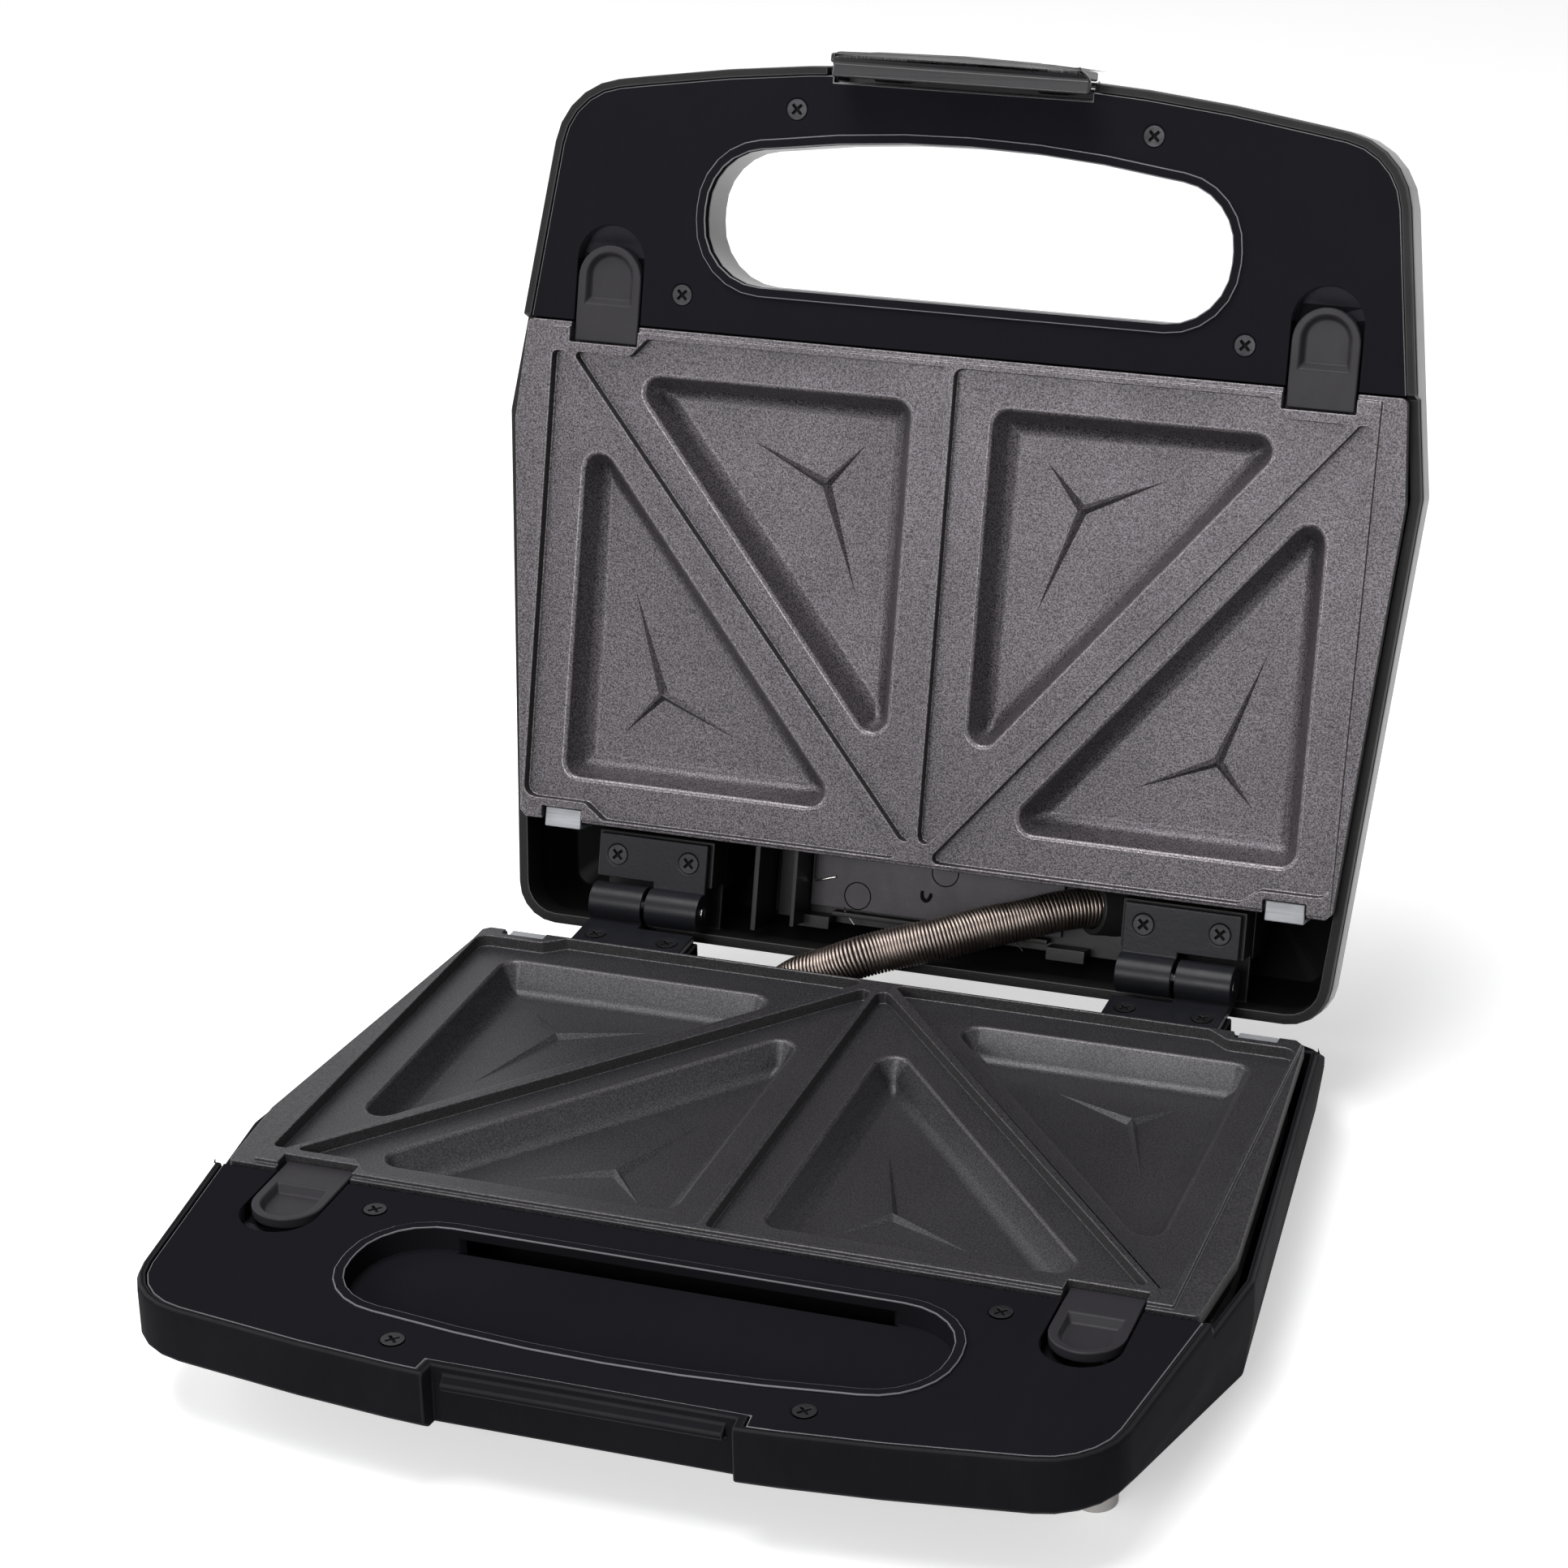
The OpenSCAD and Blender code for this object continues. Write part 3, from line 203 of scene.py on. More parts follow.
metalLook = {
    "lineStretch": (60.0, 2600.0, 2600.0),
    "lineRange": (0.35, 0.65),
    "spotScale": 160.0,
    "spotDetail": 3.0,
    "spotRange": (0.4, 0.72),
    "dullShare": 0.82,
}


# Rolling or drawing lines of a metal part, with dull spots
def makeMetalStreaks():
    group, given, put = nodeGroup("metalStreaks",
        [("Place", "NodeSocketVector", None)],
        [("Lines", "NodeSocketFloat"), ("Spots", "NodeSocketFloat")])
    place = given.outputs["Place"]
    lines = noise(group, stretched(group, place, metalLook["lineStretch"]), 1.0)
    spots = noise(group, place, metalLook["spotScale"], metalLook["spotDetail"])
    group.links.new(ranged(group, lines, *metalLook["lineRange"]), put.inputs["Lines"])
    group.links.new(ranged(group, spots, *metalLook["spotRange"]), put.inputs["Spots"])
    return group


coatFlecks = makeCoatFlecks()
mouldGrain = makeMouldGrain()
metalStreaks = makeMetalStreaks()


# A material under construction, with its Principled shader and one shared effect group
class Finish:
    def __init__(self, name, group, fineness=None):
        self.material = bpy.data.materials.new(name)
        self.material.use_nodes = True
        self.tree = self.material.node_tree
        self.shader = self.tree.nodes["Principled BSDF"]
        place = self.tree.nodes.new("ShaderNodeTexCoord").outputs["Object"]
        effect = self.tree.nodes.new("ShaderNodeGroup")
        effect.node_tree = group
        self.tree.links.new(place, effect.inputs["Place"])
        if fineness:
            effect.inputs["Fineness"].default_value = fineness
        self.effect = effect.outputs

    def link(self, value, socket):
        self.tree.links.new(value, self.shader.inputs[socket])

    def colour(self, share, first, second):
        node = self.tree.nodes.new("ShaderNodeMix")
        node.data_type = "RGBA"
        node.inputs["A"].default_value = (*first, 1)
        node.inputs["B"].default_value = (*second, 1)
        self.tree.links.new(share, node.inputs["Factor"])
        self.link(node.outputs["Result"], "Base Color")

    def roughness(self, share, middle, change):
        low, high = (middle + step for step in change)
        self.link(ranged(self.tree, share, 0, 1, low, high), "Roughness")

    def bump(self, height, distance):  # the distance in millimetres
        node = self.tree.nodes.new("ShaderNodeBump")
        node.inputs["Strength"].default_value = 1.0
        node.inputs["Distance"].default_value = distance * mm
        self.tree.links.new(height, node.inputs["Height"])
        self.link(node.outputs["Normal"], "Normal")

    def fixed(self, **values):
        for label, value in values.items():
            self.shader.inputs[label.replace("_", " ")].default_value = value


def nonStickCoat(name, dark, light, metallic, roughness, bumpHeight=0.06, change=(-0.04, 0.05)):
    made = Finish(name, coatFlecks, coatLook["fineness"])
    made.colour(made.effect["Flecks"], dark, light)
    made.roughness(made.effect["Tone"], roughness, change)
    made.bump(made.effect["Height"], bumpHeight)
    made.fixed(Metallic=metallic)
    return made.material


def moulding(name, colour, roughness, specular, fineness=mouldLook["fineness"], bumpHeight=0.02, coat=0.0,
        variety=0.12, change=(0.04, -0.05)):
    made = Finish(name, mouldGrain, fineness)
    worn = [min(1.0, c * (1 + variety)) for c in colour]
    fresh = [c * (1 - variety) for c in colour]
    made.colour(made.effect["Handling"], fresh, worn)
    made.roughness(made.effect["Handling"], roughness, change)
    made.bump(made.effect["Height"], bumpHeight)
    made.fixed(Specular_IOR_Level=specular)
    if coat:
        made.fixed(Coat_Weight=coat, Coat_Roughness=0.25)
    return made.material


def metal(name, colour, roughness, unevenness=0.1, metallic=1.0, bumpHeight=0.01):
    made = Finish(name, metalStreaks)
    made.colour(made.effect["Lines"], [c * metalLook["dullShare"] for c in colour], colour)
    made.roughness(made.effect["Spots"], roughness, (-unevenness, unevenness))
    made.bump(made.effect["Lines"], bumpHeight)
    made.fixed(Metallic=metallic)
    return made.material


def clearLens(name, colour, fineness=400.0, deepShare=0.55):
    made = Finish(name, mouldGrain, fineness)
    made.colour(made.effect["Handling"], [c * deepShare for c in colour], colour)
    made.fixed(Roughness=0.12, Coat_Weight=0.6, Coat_Roughness=0.05, Transmission_Weight=0.35)
    return made.material


# One finish for each slot. After its name and colours come a moulding's roughness and specular level,
# or a metal's roughness; bump heights are in millimetres
finishes = {
    "black_shell": moulding("satinBlackShell", (0.0095, 0.0095, 0.0115), 0.6, 0.01),
    "handle_panel": moulding("handlePanelBlack", (0.0112, 0.0109, 0.0138), 0.7, 0.0,
        fineness=2200.0, bumpHeight=0.008, variety=0.05),
    # The two plates are one part: the lid's coat is a lighter copy (painted light), the base's a darker copy
    # (painted shade)
    "lower_nonstick": nonStickCoat("lowerPlateCoatPaintedShade", (0.009, 0.0086, 0.0102), (0.048, 0.0455, 0.051),
        metallic=0.35, roughness=0.4, bumpHeight=0.05),
    "upper_nonstick": nonStickCoat("upperPlateCoatPaintedLight", (0.012, 0.0095, 0.0118), (0.122, 0.109, 0.123),
        metallic=0.4, roughness=0.4),
    "galvanised": metal("galvanisedSheet", (0.36, 0.37, 0.39), 0.62, unevenness=0.06, metallic=0.5),
    "element_steel": metal("elementTube", (0.3, 0.28, 0.26), 0.42),
    "thermostat_steel": metal("thermostatCan", (0.6, 0.57, 0.5), 0.35),
    "hinge_black": moulding("hingeBlack", (0.009, 0.0092, 0.012), 0.36, 0.17,
        fineness=900.0, bumpHeight=0.03, variety=0.25),
    "pin_steel": metal("pinSteel", (0.5, 0.5, 0.52), 0.3),
    "screw_steel": metal("blackenedScrew", (0.036, 0.036, 0.039), 0.52),
    "foot_rubber": moulding("paleFootRubber", (0.62, 0.59, 0.58), 0.7, 0.25, fineness=700.0, bumpHeight=0.04),
    "bush_plastic": moulding("bushBlack", (0.018, 0.018, 0.019), 0.5, 0.3),
    "conduit_steel": metal("conduitWire", (0.34, 0.285, 0.255), 0.38, unevenness=0.05),
    "spring_steel": metal("springWire", (0.55, 0.55, 0.56), 0.28),
    "button_plastic": moulding("buttonGrey", (0.022, 0.0205, 0.0245), 0.44, 0.14,
        fineness=1700.0, bumpHeight=0.012),
    "silver_shell": moulding("silverShell", (0.25, 0.25, 0.255), 0.38, 0.4,
        fineness=1900.0, bumpHeight=0.01, coat=0.15, variety=0.05),
    "rim_plastic": moulding("rimDarkGrey", (0.0065, 0.006, 0.006), 0.5, 0.16,
        fineness=1100.0, bumpHeight=0.05),
    "board_plastic": moulding("boardDark", (0.062, 0.056, 0.065), 0.45, 0.3,
        fineness=800.0, bumpHeight=0.03, variety=0.3),
    "red_lens": clearLens("redLens", (0.55, 0.02, 0.012)),
    "green_lens": clearLens("greenLens", (0.02, 0.38, 0.04)),
    "latch_plastic": moulding("latchDark", (0.02, 0.0195, 0.0215), 0.3, 0.4,
        fineness=1600.0, bumpHeight=0.01),
}
# Painted highlights: lighter, glossier copies of the slots' finishes, laid on the rounded edges where light
# catches them
edgeHighlightFinishes = {  # on the rounded edges of the same slots
    "handle_panel": moulding("panelEdgePaintedHighlight", (0.13, 0.13, 0.14), 0.34, 0.35,
        fineness=2200.0, bumpHeight=0.004),
    "black_shell": moulding("shellEdgePaintedHighlight", (0.013, 0.013, 0.015), 0.5, 0.06, bumpHeight=0.01),
    "rim_plastic": moulding("rimEdgePaintedHighlight", (0.02, 0.019, 0.019), 0.42, 0.3, fineness=1100.0),
    "lower_nonstick": nonStickCoat("lowerPlateEdgePaintedHighlight", (0.02, 0.019, 0.021), (0.08, 0.075, 0.08),
        metallic=0.4, roughness=0.36, bumpHeight=0.03),
    "upper_nonstick": nonStickCoat("upperPlateEdgePaintedHighlight", (0.05, 0.045, 0.049), (0.22, 0.2, 0.215),
        metallic=0.5, roughness=0.34, bumpHeight=0.03),
}
coreFinish = moulding("conduitCore", (0.012, 0.011, 0.01), 0.6, 0.1)
wireFinish = metal("bareWire", (0.72, 0.68, 0.62), 0.25)
print("finishes made:", len(bpy.data.materials))


# Shaping helpers
def useAlone(piece):
    bpy.ops.object.select_all(action="DESELECT")
    piece.select_set(True)
    bpy.context.view_layer.objects.active = piece


def linked(name, data):
    piece = bpy.data.objects.new(name, data)
    scene.collection.objects.link(piece)
    return piece


def addModifier(piece, kind, **settings):
    useAlone(piece)
    modifier = piece.modifiers.new(kind.lower(), kind)
    for label, value in settings.items():
        setattr(modifier, label, value)
    bpy.ops.object.modifier_apply(modifier=modifier.name)


def smoothed(piece, angle):
    useAlone(piece)
    bpy.ops.object.shade_smooth_by_angle(angle=math.radians(angle))
    addModifier(piece, "WEIGHTED_NORMAL", mode="FACE_AREA", weight=60, keep_sharp=True)


def roundShaded(piece):
    for polygon in piece.data.polygons:
        polygon.use_smooth = True


# Gives a piece its materials and its body; a piece that bends between two bodies has none here
def finished(piece, body, slotName, *finish):
    piece.data.materials.clear()
    for material in finish:
        piece.data.materials.append(material)
    if body:
        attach(piece, body)
    return piece


# Half coordinates: x, y and the depth into a half, all in millimetres
lidUnturn = lidTurn().inverted()


def inLid(nodeName):
    return bodyOf[nodeName] == "latch" or bodyOf[nodeName].startswith("lid")


# Turns a place of the standing model into x, y and depth of the half that holds the node
def halfPlace(nodeName, place):
    if inLid(nodeName):
        return lidUnturn @ place / mm
    return Vector((place.x / mm, place.y / mm, stance["meetingHeight"] - place.z / mm))


# Stands a shape drawn in a half's own millimetres (z up out of the half) where that half stands
def halfMatrix(nodeName):
    if inLid(nodeName):
        return lidTurn() @ Matrix.Diagonal((mm, mm, -mm, 1))
    return Matrix.Translation((0, 0, stance["meetingHeight"] * mm)) @ Matrix.Diagonal((mm, mm, mm, 1))


# The pieces that follow a CAD node, with their edges rounded
softenedEdges = {  # node: (edge width in mm, segments, angle from which an edge is rounded)
    "base_housing": (0.45, 2, 32),
    "base_panel": (0.3, 2, 32),
    "lower_plate": (0.8, 4, 38),
    "lower_leaf_left": (0.35, 2, 30),
    "lower_leaf_right": (0.35, 2, 30),
    "lower_leaf_screws": (0.12, 2, 40),
    "base_panel_screws": (0.12, 2, 40),
    "feet": (0.7, 3, 35),
    "cord_inlet": (0.5, 3, 35),
    "base_conduit_collar": (0.4, 2, 35),
    "base_button_left": (0.45, 3, 34),
    "base_button_right": (0.45, 3, 34),
    "lid_cover": (0.5, 2, 30),
    "lid_frame": (0.3, 2, 32),
    "lid_panel": (0.3, 2, 32),
    "upper_plate": (0.8, 4, 38),
    "upper_tray": (0.3, 2, 35),
    "lower_tray": (0.3, 2, 35),
    "upper_leaf_left": (0.35, 2, 30),
    "upper_leaf_right": (0.35, 2, 30),
    "upper_leaf_screws": (0.12, 2, 40),
    "lid_panel_screws": (0.12, 2, 40),
    "wiring_board": (0.25, 2, 35),
    "lid_conduit_collar": (0.4, 2, 35),
    "power_lens": (0.7, 4, 40),
    "ready_lens": (0.7, 4, 40),
    "latch": (0.6, 4, 35),
    "lid_button_left": (0.45, 3, 34),
    "lid_button_right": (0.45, 3, 34),
    "hinge_pins": (0.3, 2, 35),
}
pocket = {  # depths of the sandwich pockets and of the land round them, in millimetres
    "floor": 10.8,
    "land": 3.2,
    "levelGap": 0.06,
    "fineEdge": 0.3,
    "footWidth": 2.6,
    "footRise": 0.6,
    "wallTop": 2.0,
    "wallFoot": 0.5,
    "smoothAngle": 55,
}
star = {  # hub places and arms, in millimetres from the middle of the plates
    "places": [((76.1, 52.4), 1), ((34.8, -8.2), -1)],
    "arms": [(10.7, -29.5), (10.7, 11.8), (-22.5, 9.9)],
    "waist": 1.5,
    "height": 1.5,
    "root": 0.06,
}
cleaning = {"mergeDistance": 0.004, "flatAngle": 0.6}  # in millimetres and degrees


# Makes one clean mesh of a node's loose triangles
def mergedMesh(piece):
    useAlone(piece)
    bpy.ops.object.mode_set(mode="EDIT")
    bpy.ops.mesh.select_all(action="SELECT")
    bpy.ops.mesh.remove_doubles(threshold=cleaning["mergeDistance"] * mm)
    bpy.ops.mesh.dissolve_limited(angle_limit=math.radians(cleaning["flatAngle"]))
    bpy.ops.object.mode_set(mode="OBJECT")
    piece.data.polygons.foreach_set("material_index", [0] * len(piece.data.polygons))


def atLevel(depth, level):
    return abs(depth - pocket[level]) < pocket["levelGap"]


# Lets the walls of each sandwich pocket run out softly into its floor
def softenPocketFeet(piece, nodeName):
    shape = bmesh.new()
    shape.from_mesh(piece.data)
    floors = [f for f in shape.faces if all(atLevel(halfPlace(nodeName, v.co).z, "floor") for v in f.verts)]
    ring = bmesh.ops.inset_region(shape, faces=floors, thickness=pocket["footWidth"] * mm,
        use_even_offset=True, use_boundary=True)["faces"]
    inner = {v for f in ring for v in f.verts if all(near in ring or near in floors for near in v.link_faces)}
    crossed = []  # where a tight corner turned inside out
    for face in ring:
        ends = [v for v in face.verts if v in inner]
        if len(ends) != 2 or len(face.verts) != 4:
            continue
        opposite = [next(e.other_vert(v) for e in v.link_edges
            if e.other_vert(v) in face.verts and e.other_vert(v) not in inner) for v in ends]
        if (ends[1].co - ends[0].co).dot(opposite[1].co - opposite[0].co) <= 0:
            crossed.append(next(e for e in face.edges if set(e.verts) == set(ends)))
    rise = halfMatrix(nodeName).to_3x3() @ Vector((0, 0, pocket["footRise"]))
    for v in {v for f in ring for v in f.verts} - inner:
        v.co += rise
    bmesh.ops.collapse(shape, edges=crossed)
    shape.to_mesh(piece.data)
    shape.free()


# Marks the edges of a plate that are rounded: fully on the lips of its pockets, finely elsewhere
def weighPlateEdges(piece, nodeName, lipWidth, angle):
    shape = bmesh.new()
    shape.from_mesh(piece.data)
    weights = shape.edges.layers.float.new("bevel_weight_edge")
    for edge in shape.edges:
        if len(edge.link_faces) != 2 or math.degrees(edge.calc_face_angle(0)) < angle:
            continue
        depths = [halfPlace(nodeName, v.co).z for v in edge.verts]
        belowLip = min(depths) > pocket["land"] + pocket["wallTop"]
        if belowLip and max(depths) < pocket["floor"] + pocket["wallFoot"]:
            continue
        lip = all(atLevel(depth, "land") for depth in depths) and edge.is_convex
        edge[weights] = 1.0 if lip else pocket["fineEdge"] / lipWidth
    shape.to_mesh(piece.data)
    shape.free()


# The three-armed ridge pressed up in the floor of each pocket
def raiseStars(piece, nodeName):
    shape = bmesh.new()
    shape.from_mesh(piece.data)
    stand = halfMatrix(nodeName)
    for hub, turn in star["places"]:
        arms = [Vector(arm) * turn for arm in star["arms"]]
        ring = []
        for k, arm in enumerate(arms):
            between = (arm.normalized() + arms[(k + 1) % 3].normalized()).normalized()
            ring += [arm, between * star["waist"]]
        for side in (-1, 1):

            def corner(place, height):
                return shape.verts.new(stand @ Vector((side * (hub[0] + place.x), hub[1] + place.y,
                    height - pocket["floor"])))

            top = corner(Vector((0, 0)), star["height"])
            foot = [corner(place, -star["root"]) for place in ring]
            faces = [shape.faces.new((top, foot[k], foot[(k + 1) % 6])) for k in range(6)]
            faces.append(shape.faces.new(foot[::-1]))
            bmesh.ops.recalc_face_normals(shape, faces=faces)
    shape.to_mesh(piece.data)
    shape.free()


def softenedCopy(nodeName, width, segments, angle):
    piece = linked(nodeName + "_dressed", nodes[nodeName].data.copy())
    slotName = slotOf[nodeName]
    finish = [finishes[slotName]]
    if slotName in edgeHighlightFinishes:
        finish.append(edgeHighlightFinishes[slotName])
    finished(piece, bodyOf[nodeName], slotName, *finish)
    mergedMesh(piece)
    # the rounded edges take the last finish: the painted highlight where the slot has one
    bevel = {"width": width * mm, "segments": segments, "use_clamp_overlap": False,
        "material": len(finish) - 1, "loop_slide": True}
    if nodeName.endswith("_plate"):
        softenPocketFeet(piece, nodeName)
        weighPlateEdges(piece, nodeName, width, angle)
        addModifier(piece, "BEVEL", limit_method="WEIGHT", miter_outer="MITER_ARC", **bevel)
        smoothed(piece, pocket["smoothAngle"])
        raiseStars(piece, nodeName)
    else:
        if "_button_" in nodeName:
            sinkThumbPad(piece, nodeName)
        addModifier(piece, "BEVEL", limit_method="ANGLE", angle_limit=math.radians(angle),
            miter_outer="MITER_SHARP", **bevel)
        smoothed(piece, angle)
    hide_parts(nodeName)
    return piece


# Release buttons: a D-shaped thumb pad sunk into each cap, in half coordinates with z out of the half
buttonAcross = 95.8  # from the middle of the toaster to the middle of a button
thumbPad = {
    "halfWidth": 6.5,
    "from": -63.2,
    "to": -49.4,
    "top": -1.7,
    "floor": -3.6,
    "floorHalf": 5.5,
    "floorFrom": -62.2,
    "floorTo": -51.2,
    "roundGap": 0.2,
    "roundSteps": 9,
}


def thumbPadCutter():
    bpy.ops.object.select_all(action="DESELECT")
    bpy.ops.mesh.primitive_cube_add(size=2)
    cutter = bpy.context.object
    cutter.name = "thumb_pad_cutter"
    bpy.ops.object.mode_set(mode="EDIT")
    bpy.ops.mesh.select_mode(type="EDGE")
    bpy.ops.mesh.select_all(action="DESELECT")
    bpy.ops.object.mode_set(mode="OBJECT")
    low, high = thumbPad["floor"], 2 * thumbPad["top"] - thumbPad["floor"]
    for v in cutter.data.vertices:
        v.co.x *= thumbPad["halfWidth"]
        v.co.y = thumbPad["from"] if v.co.y < 0 else thumbPad["to"]
        v.co.z = low if v.co.z < 0 else high
    for edge in cutter.data.edges:  # the two upright corners that are rounded
        ends = [cutter.data.vertices[i].co for i in edge.vertices]
        atFront = all(abs(end.y - thumbPad["from"]) < 0.01 for end in ends)
        edge.select = atFront and abs(ends[0].x - ends[1].x) < 0.01
    bpy.ops.object.mode_set(mode="EDIT")
    bpy.ops.mesh.bevel(offset=thumbPad["halfWidth"] - thumbPad["roundGap"], segments=thumbPad["roundSteps"],
        affect="EDGES")
    bpy.ops.object.mode_set(mode="OBJECT")
    narrow = thumbPad["floorHalf"] / thumbPad["halfWidth"]
    length = (thumbPad["floorTo"] - thumbPad["floorFrom"]) / (thumbPad["to"] - thumbPad["from"])
    for v in cutter.data.vertices:
        share = 1 if v.co.z < thumbPad["top"] else -1  # the sides lean on above the cap by as much as below
        v.co.x *= 1 + (narrow - 1) * share
        shift = (thumbPad["floorFrom"] + (v.co.y - thumbPad["from"]) * length) - v.co.y
        v.co.y += shift * share
    return cutter


thumbCutter = thumbPadCutter()


def sinkThumbPad(piece, nodeName):
    side = -1 if nodeName.endswith("left") else 1
    cutter = linked("cutter", thumbCutter.data.copy())
    cutter.data.transform(halfMatrix(nodeName) @ Matrix.Translation((side * buttonAcross, 0, 0)))
    useAlone(cutter)
    bpy.ops.object.mode_set(mode="EDIT")
    bpy.ops.mesh.select_all(action="SELECT")
    bpy.ops.mesh.normals_make_consistent(inside=False)
    bpy.ops.object.mode_set(mode="OBJECT")
    addModifier(piece, "BOOLEAN", operation="DIFFERENCE", object=cutter, solver="EXACT")
    bpy.data.objects.remove(cutter)


dressed = {name: softenedCopy(name, *numbers) for name, numbers in softenedEdges.items()}
bpy.data.objects.remove(thumbCutter)
for name, node in nodes.items():  # what stays a CAD node gets its finish
    node.data.materials.clear()
    node.data.materials.append(finishes[slotOf[name]])


# Gives another material to the faces of a dressed piece that the test picks out
def repaint(nodeName, material, chosen):
    piece = dressed[nodeName]
    piece.data.materials.append(material)
    index = len(piece.data.materials) - 1
    for polygon in piece.data.polygons:
        if chosen(polygon, halfPlace(nodeName, polygon.center)):
            polygon.material_index = index


panelAreas = {  # where the painted edge highlights end and the scoops behind the buttons are, in half coordinates
    "edgeDepths": (0.4, 2.3),
    "grip": {"halfWidth": 74, "from": -102, "to": -54, "depth": 1.7},
    "button": {"halfWidth": 11.5, "from": -72},
    "screws": [(47.4, -103.7), (75.3, -53.9)],
    "screwRadius": 4.5,
    "plateSide": -46.5,
    "scoop": {"halfWidth": 9.6, "from": -76, "to": -60, "depths": (2.2, 7)},
}


# Faces with the painted edge highlight that aren't on the panel's outer top edge or the grip's ring
def awayFromPanelEdge(polygon, place):
    if polygon.material_index != 1:
        return False
    grip, button = panelAreas["grip"], panelAreas["button"]
    inGrip = abs(place.x) < grip["halfWidth"] and grip["from"] < place.y < grip["to"]
    byButton = abs(abs(place.x) - buttonAcross) < button["halfWidth"] and place.y > button["from"]
    byScrew = min((place.xy - Vector((side * x, y))).length for side in (-1, 1)
        for x, y in panelAreas["screws"]) < panelAreas["screwRadius"]
    top, foot = panelAreas["edgeDepths"]
    deep = not top < place.z < (grip["depth"] if inGrip else foot)
    return deep or byButton or byScrew or place.y > panelAreas["plateSide"]


def inScoop(polygon, place):
    scoop = panelAreas["scoop"]
    byButton = abs(abs(place.x) - buttonAcross) < scoop["halfWidth"] and scoop["from"] < place.y < scoop["to"]
    top, foot = scoop["depths"]
    return byButton and top < place.z < foot


# Painted light: the scoops behind the buttons get an even grey, lighter than the panel, in place of their
# shading
scoopPaintedLight = moulding("scoopPaintedLightGrey", (0.03, 0.029, 0.036), 0.6, 0.05, fineness=1700.0, bumpHeight=0.012)
for nodeName in ("base_panel", "lid_panel"):
    # only the panel's outer top edge and the grip's ring keep the painted highlight
    repaint(nodeName, finishes["handle_panel"], awayFromPanelEdge)
    repaint(nodeName, scoopPaintedLight, inScoop)


# Where the seam walls get painted shade, by depth and steepness
seam = {"depths": (0.5, 3.0), "steepness": 0.6}
seamPaintedShade = nonStickCoat("plateSeamPaintedShade", (0.006, 0.0055, 0.006), (0.03, 0.028, 0.03),
    metallic=0.1, roughness=0.6)


# Painted shade: the steep walls of the raised seams that part the pockets and frame a plate get a dark copy
# of the coat
def steepSeam(nodeName):
    out = (halfMatrix(nodeName).to_3x3() @ Vector((0, 0, 1))).normalized()
    top, foot = seam["depths"]
    return lambda polygon, place: top < place.z < foot and abs(polygon.normal.dot(out)) < seam["steepness"]


for nodeName in ("upper_plate", "lower_plate"):
    repaint(nodeName, seamPaintedShade, steepSeam(nodeName))


coverForm = {  # in half coordinates, but the ray in metres
    "grip": {"halfWidth": 71, "from": -98.5, "to": -57},
    "gripLine": {"halfLength": 52, "y": -76},
    "middle": (0, -5, 12),
    "facing": 0.5,
    "rayStart": 0.0001,
    "rayLength": 0.5,
}


# The cover is silver outside and through the grip, and dark moulding inside
def coverInside():
    cover = dressed["lid_cover"].data
    tree = BVHTree.FromPolygons([v.co for v in cover.vertices], [p.vertices for p in cover.polygons])
    mouth = (lidTurn().to_3x3() @ Vector((0, 0, -1))).normalized()
    grip = coverForm["grip"]
    midX, midY, midZ = coverForm["middle"]
    inner = set()
    for polygon in cover.polygons:
        place = halfPlace("lid_cover", polygon.center)
        facing = lidUnturn.to_3x3() @ polygon.normal
        start = polygon.center + polygon.normal * coverForm["rayStart"]
        hit = tree.ray_cast(start, polygon.normal, coverForm["rayLength"])[0]
        inward = (place.x - midX) * facing.x + (place.y - midY) * facing.y + (place.z - midZ) * facing.z < 0
        byGrip = abs(place.x) < grip["halfWidth"] and grip["from"] < place.y < grip["to"]
        hidden = hit or inward or polygon.normal.dot(mouth) > coverForm["facing"]
        if hidden and not (byGrip and intoGrip(place, facing)):
            inner.add(polygon.index)
    return inner


# Whether a face looks into the grip opening
def intoGrip(place, facing):
    line = coverForm["gripLine"]
    nearest = Vector((min(line["halfLength"], max(-line["halfLength"], place.x)), line["y"]))
    return (nearest - place.xy).dot(facing.xy) > 0 and abs(facing.z) < coverForm["facing"]


trayFlange = {"before": -40.5, "facing": -0.5}
screwCross = {  # depth of the heads' tops under the meeting plane, and where the slots lie below them
    "tops": {
        "base_panel_screws": 1.8,
        "lid_panel_screws": 1.8,
        "upper_leaf_screws": 2.0,
        "lower_leaf_screws": 2.0,
    },
    "from": 0.12,
    "to": 1.0,
}
insideFaces = coverInside()
# Black moulding of the lid's inside; the same black is painted shade on the lower tray's front flange
insideBlackAndPaintedShade = moulding("insideBlackAndPaintedShade", (0.0045, 0.004, 0.0045), 0.42, 0.3, fineness=900.0)
repaint("lid_cover", insideBlackAndPaintedShade, lambda polygon, place: polygon.index in insideFaces)
repaint("wiring_board", insideBlackAndPaintedShade, lambda polygon, place: True)
# Painted shade: the lower tray's front flange, seen through the slot, is painted black
repaint("lower_tray", insideBlackAndPaintedShade,
    lambda polygon, place: place.y < trayFlange["before"] and polygon.normal.y < trayFlange["facing"])
# Near black: painted shade in the screws' cross slots, and the own colour of the ejector rings and the wire
# hook
blackAndRecessShade = moulding("screwRecessShadeAndBlack", (0.004, 0.004, 0.004), 0.7, 0.1)
# Painted shade: the cross slots of the screw heads are painted near black
for nodeName, top in screwCross["tops"].items():
    repaint(nodeName, blackAndRecessShade,
        lambda polygon, place: top + screwCross["from"] < place.z < top + screwCross["to"])
print("nodes dressed:", len(dressed), "faces:", sum(len(p.data.polygons) for p in dressed.values()))


